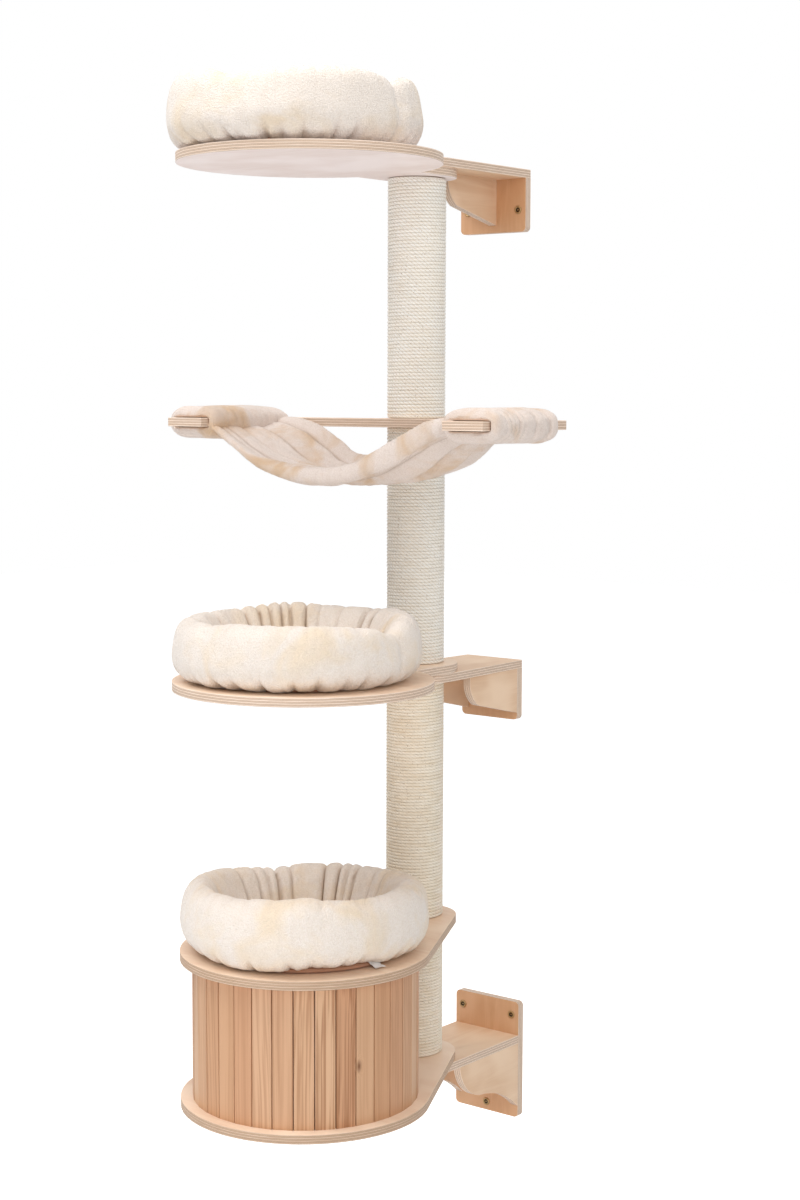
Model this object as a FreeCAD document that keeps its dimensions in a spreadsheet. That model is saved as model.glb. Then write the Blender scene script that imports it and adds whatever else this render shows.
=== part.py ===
"""Wall mounted cat tree: a sisal post on three wall brackets, with two round platforms,
a slatted cave, three round plush beds and a cloth hammock.

The frame: X runs along the wall, Y points into the wall and Z points up.
The origin is the middle of the lower wall plate's back face, so the wall is the plane Y = 0
and everything else stands on the room's side of it, at negative Y.
"""
import FreeCAD, Part
import math
import os

import Sketcher

# ---------------------------------------------------------------------------
# Driving dimensions, in millimetres and degrees
# ---------------------------------------------------------------------------
DIMENSIONS = [
    ("board", 18, "thickness of every plywood board"),
    ("wall_gap", 282, "wall face to the post's axis"),
    ("corner_round", 10, "rounding of the wall plates' free corners"),
    # wall plates and arms
    ("plate_wide", 170, "width of the lower and upper wall plates and of their arms"),
    ("plate_narrow", 148, "width of the middle wall plate"),
    ("plate_tall", 260, "height of the lower wall plate"),
    ("plate_short", 112, "height of the middle and upper wall plates"),
    ("arm_drop", 74, "lower plate's top edge down to the top of its arm"),
    ("arm_nose", 85, "half width and nose radius of the lower and upper arms"),
    ("arm_nose_middle", 88, "half width and nose radius of the middle arm at the post"),
    # brackets' cheeks, as distances from the wall plate's front and below the arm
    ("cheek_reach", 170, "wall side to the front of an upper cheek"),
    ("cheek_front", 20, "straight drop of an upper cheek's front edge"),
    ("cheek_knee_reach", 140, "wall side to where an upper cheek's curve ends"),
    ("cheek_knee_drop", 64, "drop of an upper cheek where its curve ends"),
    ("cheek_curve", 62, "radius of an upper cheek's front curve"),
    ("cheek_rear_drop", 96, "drop of an upper cheek at the wall plate"),
    ("ogee_reach", 213, "wall side to the front of a lower cheek"),
    ("ogee_neck_reach", 142, "wall side to where a lower cheek's two curves meet"),
    ("ogee_neck_drop", 79, "drop of a lower cheek where its two curves meet"),
    ("ogee_belly", 92, "radius of a lower cheek's front curve"),
    ("ogee_hollow", 230, "radius of a lower cheek's hollow curve"),
    ("ogee_rear_drop", 141, "drop of a lower cheek at the wall plate"),
    # wall screw holes
    ("screw_hole", 3, "radius of the wall screw holes"),
    ("screw_pitch", 132, "spacing of the paired wall screw holes"),
    ("screw_pitch_middle", 80, "spacing of the middle plate's wall screw holes"),
    ("screw_inset_low", 30, "lower plate's top edge to its upper pair of holes"),
    ("screw_inset_foot", 19, "lower plate's bottom edge to its single hole"),
    ("screw_inset_top", 46, "upper plate's bottom edge to its pair of holes"),
    ("screw_inset_middle", 46, "middle plate's bottom edge to its pair of holes"),
    # post
    ("post_radius", 60, "outer radius of the sisal winding"),
    ("core_radius", 53, "radius of the post's turned wooden core"),
    ("post_cave", 277, "post section between the cave's floor and roof"),
    ("post_low", 499, "post section between the cave's roof and the middle arm"),
    ("post_long", 487, "each of the two upper post sections"),
    ("stud_depth", 40, "depth of a stud in a post's core"),
    ("stud_radius", 5, "radius of the joint studs and bolts"),
    ("stud_clearance", 0.4, "clearance round a stud in a board"),
    ("head_radius", 9.8, "circumradius of a joint bolt's hexagon head"),
    ("head_tall", 6.4, "height of a joint bolt's head"),
    # platforms
    ("platform_radius", 256, "radius of both round platforms"),
    ("platform_out", 334, "post's axis to the upper platform's centre"),
    ("platform_out_middle", 354, "post's axis to the middle platform's centre"),
    ("tongue_top", 81, "half width and nose radius of the upper platform's tongue"),
    ("tongue_middle", 88, "half width and nose radius of the middle platform's tongue"),
    # cave
    ("cave_radius", 248, "radius of the cave's roof and floor"),
    ("cave_out", 349, "post's axis to the cave's centre"),
    ("cave_nose", 88, "nose radius of the cave's boards round the post"),
    ("slat_outer", 223.5, "cave's axis to the outer face of a slat"),
    ("slat_thick", 10, "thickness of a slat"),
    ("slat_wide", 38.6, "width of a slat"),
    # hammock frame
    ("hammock_half", 402, "middle to the outer side of a hammock arm"),
    ("hammock_arm", 94, "width of a hammock arm"),
    ("hammock_front", 317, "post's axis to the front end of a hammock arm"),
    ("hammock_back", 44, "post's axis to the rear edge of the crossbar"),
    ("hammock_bar", 42, "depth of the crossbar"),
    ("hammock_hub", 75, "radius of the crossbar's hub on the post"),
    # hammock cloth
    ("cloth_gap", 0.5, "clearance of the sleeves round their arms"),
    ("sleeve_front", 297, "post's axis to the front end of a sleeve"),
    ("sleeve_back", 95, "post's axis to the rear end of a sleeve"),
    ("sleeve_wide", 134, "width of a padded sleeve"),
    ("sleeve_tall", 62, "height of a padded sleeve"),
    ("sling_thick", 16, "thickness of the sling"),
    ("sling_front", 119, "depth of the sling's underside below the arms' middle at the front"),
    ("sling_back", 81, "depth of the sling's underside below the arms' middle at the back"),
    ("sling_fold", 7, "height of the sling's lengthwise folds"),
    # beds
    ("bed_gap", 0.3, "clearance of a bed above its board"),
    ("rim_middle", 198, "radius of the middle line of a bed's rim"),
    ("rim_height", 64, "height of the middle line of a bed's rim"),
    ("rim_half_wide", 45, "half the width of a bed's rim"),
    ("rim_half_tall", 66, "half the height of a bed's rim, before it is flattened at the foot"),
    ("rim_tuck", 24, "how far a bed's rim is drawn in at its foot"),
    ("bed_seat", 150, "radius of the seat inside the rim"),
    ("bed_seam", 42, "height of the seam between the seat and the rim"),
    ("bed_dome", 52, "height of the seat's middle"),
    ("pleat_depth", 9, "depth of a pleat in the rim's inner side"),
    ("bed_out_top", 372, "post's axis to the upper bed's centre"),
    ("bed_out_middle", 366, "post's axis to the middle bed's centre"),
    ("bed_out_cave", 356, "post's axis to the cave bed's centre"),
    ("tag_start", 190, "cave bed's axis to the sewn end of the care tag"),
    ("tag_long", 30, "length of the care tag"),
    ("tag_wide", 22, "width of the care tag"),
    ("tag_side", 20, "cave bed's axis to the tag's middle line, towards the room"),
    ("tag_thick", 0.8, "thickness of the care tag"),
]
SLAT_COUNT = 29          # slats round the cave
SLAT_PITCH = 10.45       # degrees from slat to slat
SLAT_START = 159.6       # degrees, the doorway's front edge, from +X towards the room
PLEAT_COUNT = 14         # pleats round each bed's inner side
PLEAT_STRAY = 5          # degrees, how far a pleat strays from even spacing
PLEAT_DRIFT = 2.4        # radians from pleat to pleat in the wave of that straying
RIM_STEPS = 15           # straight steps round a rim's outline
RIM_SMOOTH = 0.4         # radians, where on the rim's outline the pleats have faded out
SLING_FOLDS = 5          # half waves across the sling from front to back
SLING_BELLY = 0.36       # share of the sling's half width at its curve's middle point
SLING_SLACK = 0.13       # share of the sling's drop at that point
SLING_RISE = 0.3         # the smaller, the nearer to its rear edge the sling's underside rises
JOIN_TOP = 0.25          # share of a sleeve's half height where the sling's top meets it
JOIN_LOW = -0.9          # and where the sling's underside does
TAG_TURN = -12           # degrees, the tag's direction on the cave's roof

doc = FreeCAD.newDocument("WallCatTree")
sheet = doc.addObject("Spreadsheet::Sheet", "Sizes")
for row, (alias, value, note) in enumerate(DIMENSIONS, start=1):
    sheet.set("A%d" % row, note)
    sheet.set("B%d" % row, str(value))
    sheet.setAlias("B%d" % row, alias)
doc.recompute()


class Size:
    """A length that knows both its number and the formula that binds it to the sheet."""

    def __init__(self, value, formula):
        self.value = float(value)
        self.formula = formula

    def __add__(self, other):
        other = as_size(other)
        return Size(self.value + other.value, "(%s + %s)" % (self.formula, other.formula))

    def __sub__(self, other):
        other = as_size(other)
        return Size(self.value - other.value, "(%s - %s)" % (self.formula, other.formula))

    def __mul__(self, factor):
        return Size(self.value * factor, "(%s * %.9g)" % (self.formula, factor))

    def __truediv__(self, factor):
        return self * (1.0 / factor)

    def __neg__(self):
        return self * -1.0


def as_size(number):
    if isinstance(number, Size):
        return number
    return Size(number, "%.9g" % number)


def size(alias):
    return Size(sheet.get(alias), "Sizes." + alias)


ZERO = as_size(0)
BOARD = size("board")
POST_Y = -size("wall_gap")

# Heights of the boards' undersides and of the post sections' lower ends
ARM_LOW_Z = size("plate_tall") / 2 - size("arm_drop") - BOARD
FLOOR_Z = ARM_LOW_Z + BOARD
CAVE_POST_Z = FLOOR_Z + BOARD
ROOF_Z = CAVE_POST_Z + size("post_cave")
LOW_POST_Z = ROOF_Z + BOARD
ARM_MIDDLE_Z = LOW_POST_Z + size("post_low")
PLATFORM_MIDDLE_Z = ARM_MIDDLE_Z + BOARD
MIDDLE_POST_Z = PLATFORM_MIDDLE_Z + BOARD
HAMMOCK_Z = MIDDLE_POST_Z + size("post_long")
TOP_POST_Z = HAMMOCK_Z + BOARD
PLATFORM_TOP_Z = TOP_POST_Z + size("post_long")
ARM_TOP_Z = PLATFORM_TOP_Z + BOARD

nodes = []


# ---------------------------------------------------------------------------
# Helpers
# ---------------------------------------------------------------------------
def bind(thing, prop, length):
    thing.setExpression(prop, as_size(length).formula)


def place(thing, x=ZERO, y=ZERO, z=ZERO):
    """Tie a sub-part's place to the sheet."""
    bind(thing, "Placement.Base.x", x)
    bind(thing, "Placement.Base.y", y)
    bind(thing, "Placement.Base.z", z)


def keep(thing, label):
    """Name a finished sub-part, so that it is written as a node."""
    thing.Label = label
    nodes.append(thing)
    return thing


def new_body(name):
    return doc.addObject("PartDesign::Body", name)


def new_sketch(body, name, plane):
    sketch = body.newObject("Sketcher::SketchObject", name)
    for feature in body.Origin.OriginFeatures:
        if feature.Role == plane:
            sketch.AttachmentSupport = (feature, [""])
    sketch.MapMode = "FlatFace"
    return sketch


def pin_coordinate(sketch, kind, edge, end, length):
    """Hold one coordinate of a sketch point: on the axis where it is nought, else by a distance."""
    if length.value == 0:
        axis = -2 if kind == "DistanceX" else -1
        sketch.addConstraint(Sketcher.Constraint("PointOnObject", edge, end, axis))
        return
    number = sketch.addConstraint(Sketcher.Constraint(kind, -1, 1, edge, end, length.value))
    sketch.setExpression("Constraints[%d]" % number, length.formula)


def pin_point(sketch, edge, end, x, y):
    pin_coordinate(sketch, "DistanceX", edge, end, as_size(x))
    pin_coordinate(sketch, "DistanceY", edge, end, as_size(y))


def draw_circle(sketch, x, y, radius):
    x = as_size(x)
    y = as_size(y)
    centre = FreeCAD.Vector(x.value, y.value, 0)
    edge = sketch.addGeometry(Part.Circle(centre, FreeCAD.Vector(0, 0, 1), radius.value))
    number = sketch.addConstraint(Sketcher.Constraint("Radius", edge, radius.value))
    sketch.setExpression("Constraints[%d]" % number, radius.formula)
    pin_point(sketch, edge, 3, x, y)


def draw_outline(sketch, corners):
    """Close an outline through its corners.

    Each corner is (x, y, bend): the bend is None for a straight edge to the next corner, or the
    radius of an arc under a half circle, negative where the arc turns clockwise.
    """
    ends = []
    for index, (x, y, bend) in enumerate(corners):
        after = corners[(index + 1) % len(corners)]
        first = FreeCAD.Vector(as_size(x).value, as_size(y).value, 0)
        last = FreeCAD.Vector(as_size(after[0]).value, as_size(after[1]).value, 0)
        if bend is None:
            edge = sketch.addGeometry(Part.LineSegment(first, last))
            ends.append((edge, 1, 2))
            continue
        radius = abs(bend.value)
        chord = last - first
        across = FreeCAD.Vector(-chord.y, chord.x, 0).normalize()
        rise = math.sqrt(max(radius ** 2 - (chord.Length / 2) ** 2, 0))
        side = 1 if bend.value > 0 else -1
        centre = (first + last) * 0.5 + across * (rise * side)
        start, stop = (first, last) if side > 0 else (last, first)
        angle_start = math.atan2(start.y - centre.y, start.x - centre.x)
        angle_stop = math.atan2(stop.y - centre.y, stop.x - centre.x)
        circle = Part.Circle(centre, FreeCAD.Vector(0, 0, 1), radius)
        edge = sketch.addGeometry(Part.ArcOfCircle(circle, angle_start, angle_stop))
        ends.append((edge, 1, 2) if side > 0 else (edge, 2, 1))
    for index, (edge, begin, _) in enumerate(ends):
        before = ends[index - 1]
        sketch.addConstraint(Sketcher.Constraint("Coincident", before[0], before[2], edge, begin))
        pin_point(sketch, edge, begin, corners[index][0], corners[index][1])
    for (edge, _, _), (_, _, bend) in zip(ends, corners):
        if bend is not None:
            length = bend if bend.value > 0 else -bend
            number = sketch.addConstraint(Sketcher.Constraint("Radius", edge, length.value))
            sketch.setExpression("Constraints[%d]" % number, length.formula)


def pad(body, sketch, thickness):
    feature = body.newObject("PartDesign::Pad", sketch.Name + "Pad")
    feature.Profile = sketch
    bind(feature, "Length", thickness)
    sketch.Visibility = False
    return feature


def pocket(body, sketch, depth, reversed_way=False):
    feature = body.newObject("PartDesign::Pocket", sketch.Name + "Pocket")
    feature.Profile = sketch
    feature.Reversed = reversed_way
    bind(feature, "Length", depth)
    return feature


def cut_checked(body, sketch, depth):
    """Pocket a sketch and turn the pocket round if it missed the solid."""
    doc.recompute()
    before = body.Shape.Volume
    feature = pocket(body, sketch, depth)
    doc.recompute()
    if body.Shape.Volume > before - 1:
        feature.Reversed = True
        doc.recompute()
    if body.Shape.Volume > before - 1:
        raise RuntimeError("pocket %s cuts nothing" % sketch.Name)


def edges_along_y(shape, chosen):
    """Names of the straight edges parallel to Y whose middle passes the test."""
    names = []
    for number, edge in enumerate(shape.Edges, start=1):
        run = edge.Vertexes[-1].Point - edge.Vertexes[0].Point
        if abs(run.x) < 1e-6 and abs(run.z) < 1e-6 and chosen(edge.CenterOfMass):
            names.append("Edge%d" % number)
    return names


def group_node(label, members):
    """Identical separate solids that are one node."""
    group = doc.addObject("Part::Compound", label)
    group.Links = members
    return keep(group, label)


# ---------------------------------------------------------------------------
# Wall plates, arms and cheeks
# ---------------------------------------------------------------------------
def wall_plate(label, width, height, bottom_z, holes, round_top):
    """An upright board against the wall, with rounded free corners and its screw holes."""
    body = new_body(label)
    sketch = new_sketch(body, label + "_outline", "XZ_Plane")
    draw_outline(sketch, [
        (-width / 2, ZERO, None),
        (width / 2, ZERO, None),
        (width / 2, height, None),
        (-width / 2, height, None),
    ])
    solid = pad(body, sketch, BOARD)
    doc.recompute()
    middle = height.value / 2
    fillet = body.newObject("PartDesign::Fillet", label + "_corners")
    fillet.Base = (solid, edges_along_y(solid.Shape, lambda at: round_top or at.z < middle))
    bind(fillet, "Radius", size("corner_round"))
    hole_sketch = new_sketch(body, label + "_holes", "XZ_Plane")
    for x, z in holes:
        draw_circle(hole_sketch, x, z, size("screw_hole"))
    cut_checked(body, hole_sketch, BOARD)
    place(body, z=bottom_z)
    return keep(body, label)


def arm(label, wall_half, nose, rear_y, bottom_z):
    """A flat board from the wall to the post, with a round nose about the post's axis."""
    body = new_body(label)
    sketch = new_sketch(body, label + "_outline", "XY_Plane")
    draw_outline(sketch, [
        (wall_half, rear_y, None),
        (-wall_half, rear_y, None),
        (-nose, ZERO, nose),
        (ZERO, -nose, nose),
        (nose, ZERO, None),
    ])
    pad(body, sketch, BOARD)
    stud_hole(body, label)
    place(body, y=POST_Y, z=bottom_z)
    return keep(body, label)


def stud_hole(body, label):
    """The joint stud's hole at the post's axis, through the board."""
    sketch = new_sketch(body, label + "_stud_hole", "XY_Plane")
    draw_circle(sketch, ZERO, ZERO, size("stud_radius") + size("stud_clearance"))
    cut_checked(body, sketch, BOARD)


def cheek(label, corners, left_x, rear_y, top_z):
    """An upright board under an arm. Its corners are distances from the plate and below the arm."""
    body = new_body(label)
    sketch = new_sketch(body, label + "_outline", "YZ_Plane")
    draw_outline(sketch, corners)
    pad(body, sketch, BOARD)
    place(body, x=left_x, y=rear_y, z=top_z)
    return keep(body, label)


def upper_cheek_corners():
    reach = size("cheek_reach")
    return [
        (ZERO, ZERO, None),
        (-reach, ZERO, None),
        (-reach, -size("cheek_front"), size("cheek_curve")),
        (-size("cheek_knee_reach"), -size("cheek_knee_drop"), None),
        (ZERO, -size("cheek_rear_drop"), None),
    ]


def lower_cheek_corners():
    return [
        (ZERO, ZERO, None),
        (-size("ogee_reach"), ZERO, size("ogee_belly")),
        (-size("ogee_neck_reach"), -size("ogee_neck_drop"), -size("ogee_hollow")),
        (ZERO, -size("ogee_rear_drop"), None),
    ]


def make_brackets():
    half_pitch = size("screw_pitch") / 2
    half_middle = size("screw_pitch_middle") / 2
    wide = size("plate_wide")
    narrow = size("plate_narrow")
    tall = size("plate_tall")
    short = size("plate_short")
    pair_z = tall - size("screw_inset_low")
    wall_plate("wall_plate_bottom", wide, tall, -tall / 2,
               [(-half_pitch, pair_z), (half_pitch, pair_z), (ZERO, size("screw_inset_foot"))], True)
    wall_plate("wall_plate_middle", narrow, short, ARM_MIDDLE_Z - short,
               [(-half_middle, size("screw_inset_middle")),
                (half_middle, size("screw_inset_middle"))], False)
    wall_plate("wall_plate_top", wide, short, ARM_TOP_Z - short,
               [(-half_pitch, size("screw_inset_top")),
                (half_pitch, size("screw_inset_top"))], False)
    # the lower arm butts on its plate, the other two lie over their plates' upper edges
    gap = size("wall_gap")
    arm("arm_bottom", wide / 2, size("arm_nose"), gap - BOARD, ARM_LOW_Z)
    arm("arm_middle", narrow / 2, size("arm_nose_middle"), gap, ARM_MIDDLE_Z)
    arm("arm_top", wide / 2, size("arm_nose"), gap, ARM_TOP_Z)
    rear = -BOARD
    cheek("cheek_bottom_left", lower_cheek_corners(), -wide / 2, rear, ARM_LOW_Z)
    cheek("cheek_bottom_right", lower_cheek_corners(), wide / 2 - BOARD, rear, ARM_LOW_Z)
    cheek("cheek_middle_left", upper_cheek_corners(), -narrow / 2, rear, ARM_MIDDLE_Z)
    cheek("cheek_middle_right", upper_cheek_corners(), narrow / 2 - BOARD, rear, ARM_MIDDLE_Z)
    cheek("cheek_top", upper_cheek_corners(), -BOARD / 2, rear, ARM_TOP_Z)


# ---------------------------------------------------------------------------
# Post: turned cores, sisal and joint hardware
# ---------------------------------------------------------------------------
def post_core(label, length, bottom_z):
    """A turned wooden core with a blind bore for a stud in each end."""
    body = new_body(label)
    round_sketch = new_sketch(body, label + "_round", "XY_Plane")
    draw_circle(round_sketch, ZERO, ZERO, size("core_radius"))
    pad(body, round_sketch, length)
    for name, height in (("foot", ZERO), ("head", length)):
        bore = new_sketch(body, "%s_%s_bore" % (label, name), "XY_Plane")
        bind(bore, "AttachmentOffset.Base.z", height)
        draw_circle(bore, ZERO, ZERO, size("stud_radius"))
        cut_checked(body, bore, size("stud_depth"))
    place(body, y=POST_Y, z=bottom_z)
    return keep(body, label)


def sisal(label, length, bottom_z):
    """The winding's body: rope laid turn on turn from board to board, as one sleeve."""
    body = new_body(label)
    sketch = new_sketch(body, label + "_ring", "XY_Plane")
    draw_circle(sketch, ZERO, ZERO, size("post_radius"))
    draw_circle(sketch, ZERO, ZERO, size("core_radius"))
    pad(body, sketch, length)
    place(body, y=POST_Y, z=bottom_z)
    return keep(body, label)


def make_post():
    sections = [
        ("cave", size("post_cave"), CAVE_POST_Z),
        ("low", size("post_low"), LOW_POST_Z),
        ("middle", size("post_long"), MIDDLE_POST_Z),
        ("top", size("post_long"), TOP_POST_Z),
    ]
    for name, length, bottom in sections:
        post_core("post_core_" + name, length, bottom)
        sisal("sisal_" + name, length, bottom)


def round_bar(name, length, bottom_z):
    bar = doc.addObject("Part::Cylinder", name)
    bind(bar, "Radius", size("stud_radius"))
    bind(bar, "Height", length)
    place(bar, y=POST_Y, z=bottom_z)
    return bar


def make_joint_hardware():
    """Studs through the boards between post sections, and a headed bolt at each end."""
    depth = size("stud_depth")
    studs = [
        ("stud_roof", BOARD, ROOF_Z),
        ("stud_middle", BOARD * 2, ARM_MIDDLE_Z),
        ("stud_hammock", BOARD, HAMMOCK_Z),
    ]
    for label, boards, underside in studs:
        keep(round_bar(label, boards + depth * 2, underside - depth), label)
    ends = [
        ("bottom", ARM_LOW_Z, ARM_LOW_Z - size("head_tall")),
        ("top", PLATFORM_TOP_Z - depth, ARM_TOP_Z + BOARD),
    ]
    for name, shank_z, head_z in ends:
        shank = round_bar("joint_shank_" + name, BOARD * 2 + depth, shank_z)
        head = doc.addObject("Part::Prism", "joint_head_" + name)
        head.Polygon = 6
        bind(head, "Circumradius", size("head_radius"))
        bind(head, "Height", size("head_tall"))
        place(head, y=POST_Y, z=head_z)
        bolt = doc.addObject("Part::Fuse", "joint_bolt_" + name)
        bolt.Base = shank
        bolt.Tool = head
        keep(bolt, "joint_bolt_" + name)


# ---------------------------------------------------------------------------
# Platforms and cave
# ---------------------------------------------------------------------------
def platform(label, out, tongue, bottom_z):
    """A round board with a straight tongue that ends in a nose round the post."""
    body = new_body(label)
    disc = new_sketch(body, label + "_disc", "XY_Plane")
    draw_circle(disc, ZERO, -out, size("platform_radius"))
    pad(body, disc, BOARD)
    neck = new_sketch(body, label + "_tongue", "XY_Plane")
    draw_outline(neck, [
        (-tongue, -out, None),
        (tongue, -out, None),
        (tongue, ZERO, tongue),
        (ZERO, tongue, tongue),
        (-tongue, ZERO, None),
    ])
    pad(body, neck, BOARD)
    stud_hole(body, label)
    place(body, y=POST_Y, z=bottom_z)
    return keep(body, label)


def cave_board(label, bottom_z):
    """A round board drawn out to a nose at the post, with straight sides that touch both rounds."""
    body = new_body(label)
    big = size("cave_radius")
    nose = size("cave_nose")
    out = size("cave_out")
    # the straight sides touch the two rounds where their common normal leans by this much
    lean = math.asin((big.value - nose.value) / out.value)
    spread = math.cos(lean)
    rise = math.sin(lean)
    sketch = new_sketch(body, label + "_outline", "XY_Plane")
    draw_outline(sketch, [
        (-big * spread, big * rise - out, big),
        (ZERO, -out - big, big),
        (big * spread, big * rise - out, None),
        (nose * spread, nose * rise, nose),
        (ZERO, nose, nose),
        (-nose * spread, nose * rise, None),
    ])
    pad(body, sketch, BOARD)
    stud_hole(body, label)
    place(body, y=POST_Y, z=bottom_z)
    return keep(body, label)


def make_slats():
    """Upright slats side by side round the cave, from floor to roof, with a doorway left open."""
    slats = []
    for number in range(SLAT_COUNT):
        angle = SLAT_START - (number + 0.5) * SLAT_PITCH
        slat = doc.addObject("Part::Box", "slat_%02d" % (number + 1))
        bind(slat, "Length", size("slat_thick"))
        bind(slat, "Width", size("slat_wide"))
        bind(slat, "Height", size("post_cave"))
        turn = math.radians(-angle)
        radial = FreeCAD.Vector(math.cos(turn), math.sin(turn), 0)
        tangent = FreeCAD.Vector(-radial.y, radial.x, 0)
        inner = size("slat_outer") - size("slat_thick")
        half = size("slat_wide") / 2
        slat.Placement.Rotation = FreeCAD.Rotation(FreeCAD.Vector(0, 0, 1), -angle)
        place(slat, inner * radial.x - half * tangent.x,
              POST_Y - size("cave_out") + inner * radial.y - half * tangent.y,
              CAVE_POST_Z)
        slats.append(slat)
    group_node("cave_slats", slats)


# ---------------------------------------------------------------------------
# Hammock
# ---------------------------------------------------------------------------
def make_hammock_frame():
    """One board: a crossbar with a hub between two post sections, and two arms into the room."""
    body = new_body("hammock_frame")
    outer = size("hammock_half")
    inner = outer - size("hammock_arm")
    front = -size("hammock_front")
    back = -size("hammock_back")
    bar = back - size("hammock_bar")
    sketch = new_sketch(body, "hammock_outline", "XY_Plane")
    draw_outline(sketch, [
        (-outer, front, None),
        (-inner, front, None),
        (-inner, bar, None),
        (inner, bar, None),
        (inner, front, None),
        (outer, front, None),
        (outer, back, None),
        (-outer, back, None),
    ])
    pad(body, sketch, BOARD)
    hub = new_sketch(body, "hammock_hub", "XY_Plane")
    draw_circle(hub, ZERO, ZERO, size("hammock_hub"))
    pad(body, hub, BOARD)
    stud_hole(body, "hammock_frame")
    place(body, y=POST_Y, z=HAMMOCK_Z)
    return keep(body, "hammock_frame")


def cloth_point(x, out, rise):
    """A point of the hammock's cloth, its height taken from the middle of the frame's board."""
    return FreeCAD.Vector(x, POST_Y.value - out, (HAMMOCK_Z + BOARD / 2).value + rise)


def sleeve_edges(side, out, top_join, low_join):
    """A padded sleeve's outline from where the sling's top meets it round to the sling's underside."""
    reach = (size("hammock_half") - size("hammock_arm") / 2).value
    half_tall = size("sleeve_tall").value / 2
    flat = size("sleeve_wide").value / 2 - half_tall
    bulge = half_tall * math.sqrt(0.5)

    def at(beyond, rise):
        return cloth_point(side * (reach + beyond), out, rise)

    shoulder = at(-flat, half_tall)
    crest = at(flat, half_tall)
    tip = at(flat + half_tall, 0)
    keel = at(flat, -half_tall)
    foot = at(-flat, -half_tall)
    return [
        Part.Arc(top_join, at(-flat - bulge, bulge), shoulder).toShape(),
        Part.makeLine(shoulder, crest),
        Part.Arc(crest, at(flat + bulge, bulge), tip).toShape(),
        Part.Arc(tip, at(flat + bulge, -bulge), keel).toShape(),
        Part.makeLine(keel, foot),
        Part.makeLine(foot, low_join),
    ]


def sling_arc(side, out, join, depth):
    """Half of the sling's hanging curve, from a sleeve to the middle."""
    sag = -depth + (depth + join.z - cloth_point(0, out, 0).z) * SLING_SLACK
    return Part.Arc(join, cloth_point(join.x * SLING_BELLY, out, sag), cloth_point(0, out, -depth))


def cloth_section(out, underside, thick):
    """Closed wire of the hammock's cloth at one distance from the post: sleeve, sling, sleeve."""
    inner = (size("hammock_half") - size("hammock_arm") / 2 - size("sleeve_wide") / 2).value
    half_tall = size("sleeve_tall").value / 2
    edges = []
    for side in (-1, 1):
        top_join = cloth_point(side * inner, out, half_tall * JOIN_TOP)
        low_join = cloth_point(side * inner, out, half_tall * JOIN_LOW)
        edges.append(sling_arc(side, out, top_join, underside - thick).toShape())
        edges += sleeve_edges(side, out, top_join, low_join)
        edges.append(sling_arc(side, out, low_join, underside).toShape())
    return Part.Wire(Part.__sortEdges__(edges))


def make_hammock_cloth():
    """Two padded sleeves on the arms and the sling between them, with its lengthwise folds."""
    front = size("sleeve_front").value
    back = size("sleeve_back").value
    sections = []
    for number in range(SLING_FOLDS + 1):
        share = number / SLING_FOLDS
        out = back + (front - back) * share
        fullness = share ** SLING_RISE
        depth = size("sling_back").value * (1 - fullness) + size("sling_front").value * fullness
        wave = size("sling_fold").value if number % 2 else 0.0
        sections.append(cloth_section(out, depth - wave, size("sling_thick").value))
    cloth = Part.makeLoft(sections, True, True)
    gap = size("cloth_gap").value
    arm_wide = size("hammock_arm").value
    for side in (-1, 1):
        middle = side * (size("hammock_half").value - arm_wide / 2)
        hole = Part.makeBox(arm_wide + 2 * gap, front - back + 2, BOARD.value + 2 * gap)
        hole.translate(FreeCAD.Vector(middle - arm_wide / 2 - gap, POST_Y.value - front - 1,
                                      HAMMOCK_Z.value - gap))
        cloth = cloth.cut(hole)
    feature = doc.addObject("Part::Feature", "hammock_cloth")
    feature.Shape = cloth.Solids[0]
    return keep(feature, "hammock_cloth")


# ---------------------------------------------------------------------------
# Beds
# ---------------------------------------------------------------------------
def bed_section(angle, press):
    """Points of a bed's outline in the half plane at an angle, from the foot to the seat.

    The rim is an ellipse, drawn in at its sides, and a pleat presses it in by a depth.
    """
    turn = math.radians(angle)
    wide = size("rim_half_wide").value
    tall = size("rim_half_tall").value
    tuck = size("rim_tuck").value
    middle = size("rim_middle").value
    height = size("rim_height").value
    seat = size("bed_seat").value
    seam = size("bed_seam").value
    dome = size("bed_dome").value
    start = -math.asin(height / tall)
    stop = math.pi - math.asin((seam - height) / tall)

    def at(radius, rise):
        return FreeCAD.Vector(radius * math.cos(turn), radius * math.sin(turn), rise)

    points = []
    for step in range(RIM_STEPS + 1):
        lean = start + (stop - start) * step / RIM_STEPS
        # the pleats press deepest on the seat's side and fade out over the outer side
        share = math.sin((lean - RIM_SMOOTH) / 2) ** 2
        reach = wide - press * share
        rise = height + (tall - press * share) * math.sin(lean)
        # the outer side curls in under itself towards the foot
        drawn_in = tuck * min(math.sin(lean), 0) ** 2 if math.cos(lean) > 0 else 0
        points.append(at(middle + reach * math.cos(lean) - drawn_in, rise if step else 0))
    points.append(at(seat / 2, (seam + dome * 3) / 4))
    return points


def facet(*corners):
    return Part.Face(Part.makePolygon(list(corners) + [corners[0]]))


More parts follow.
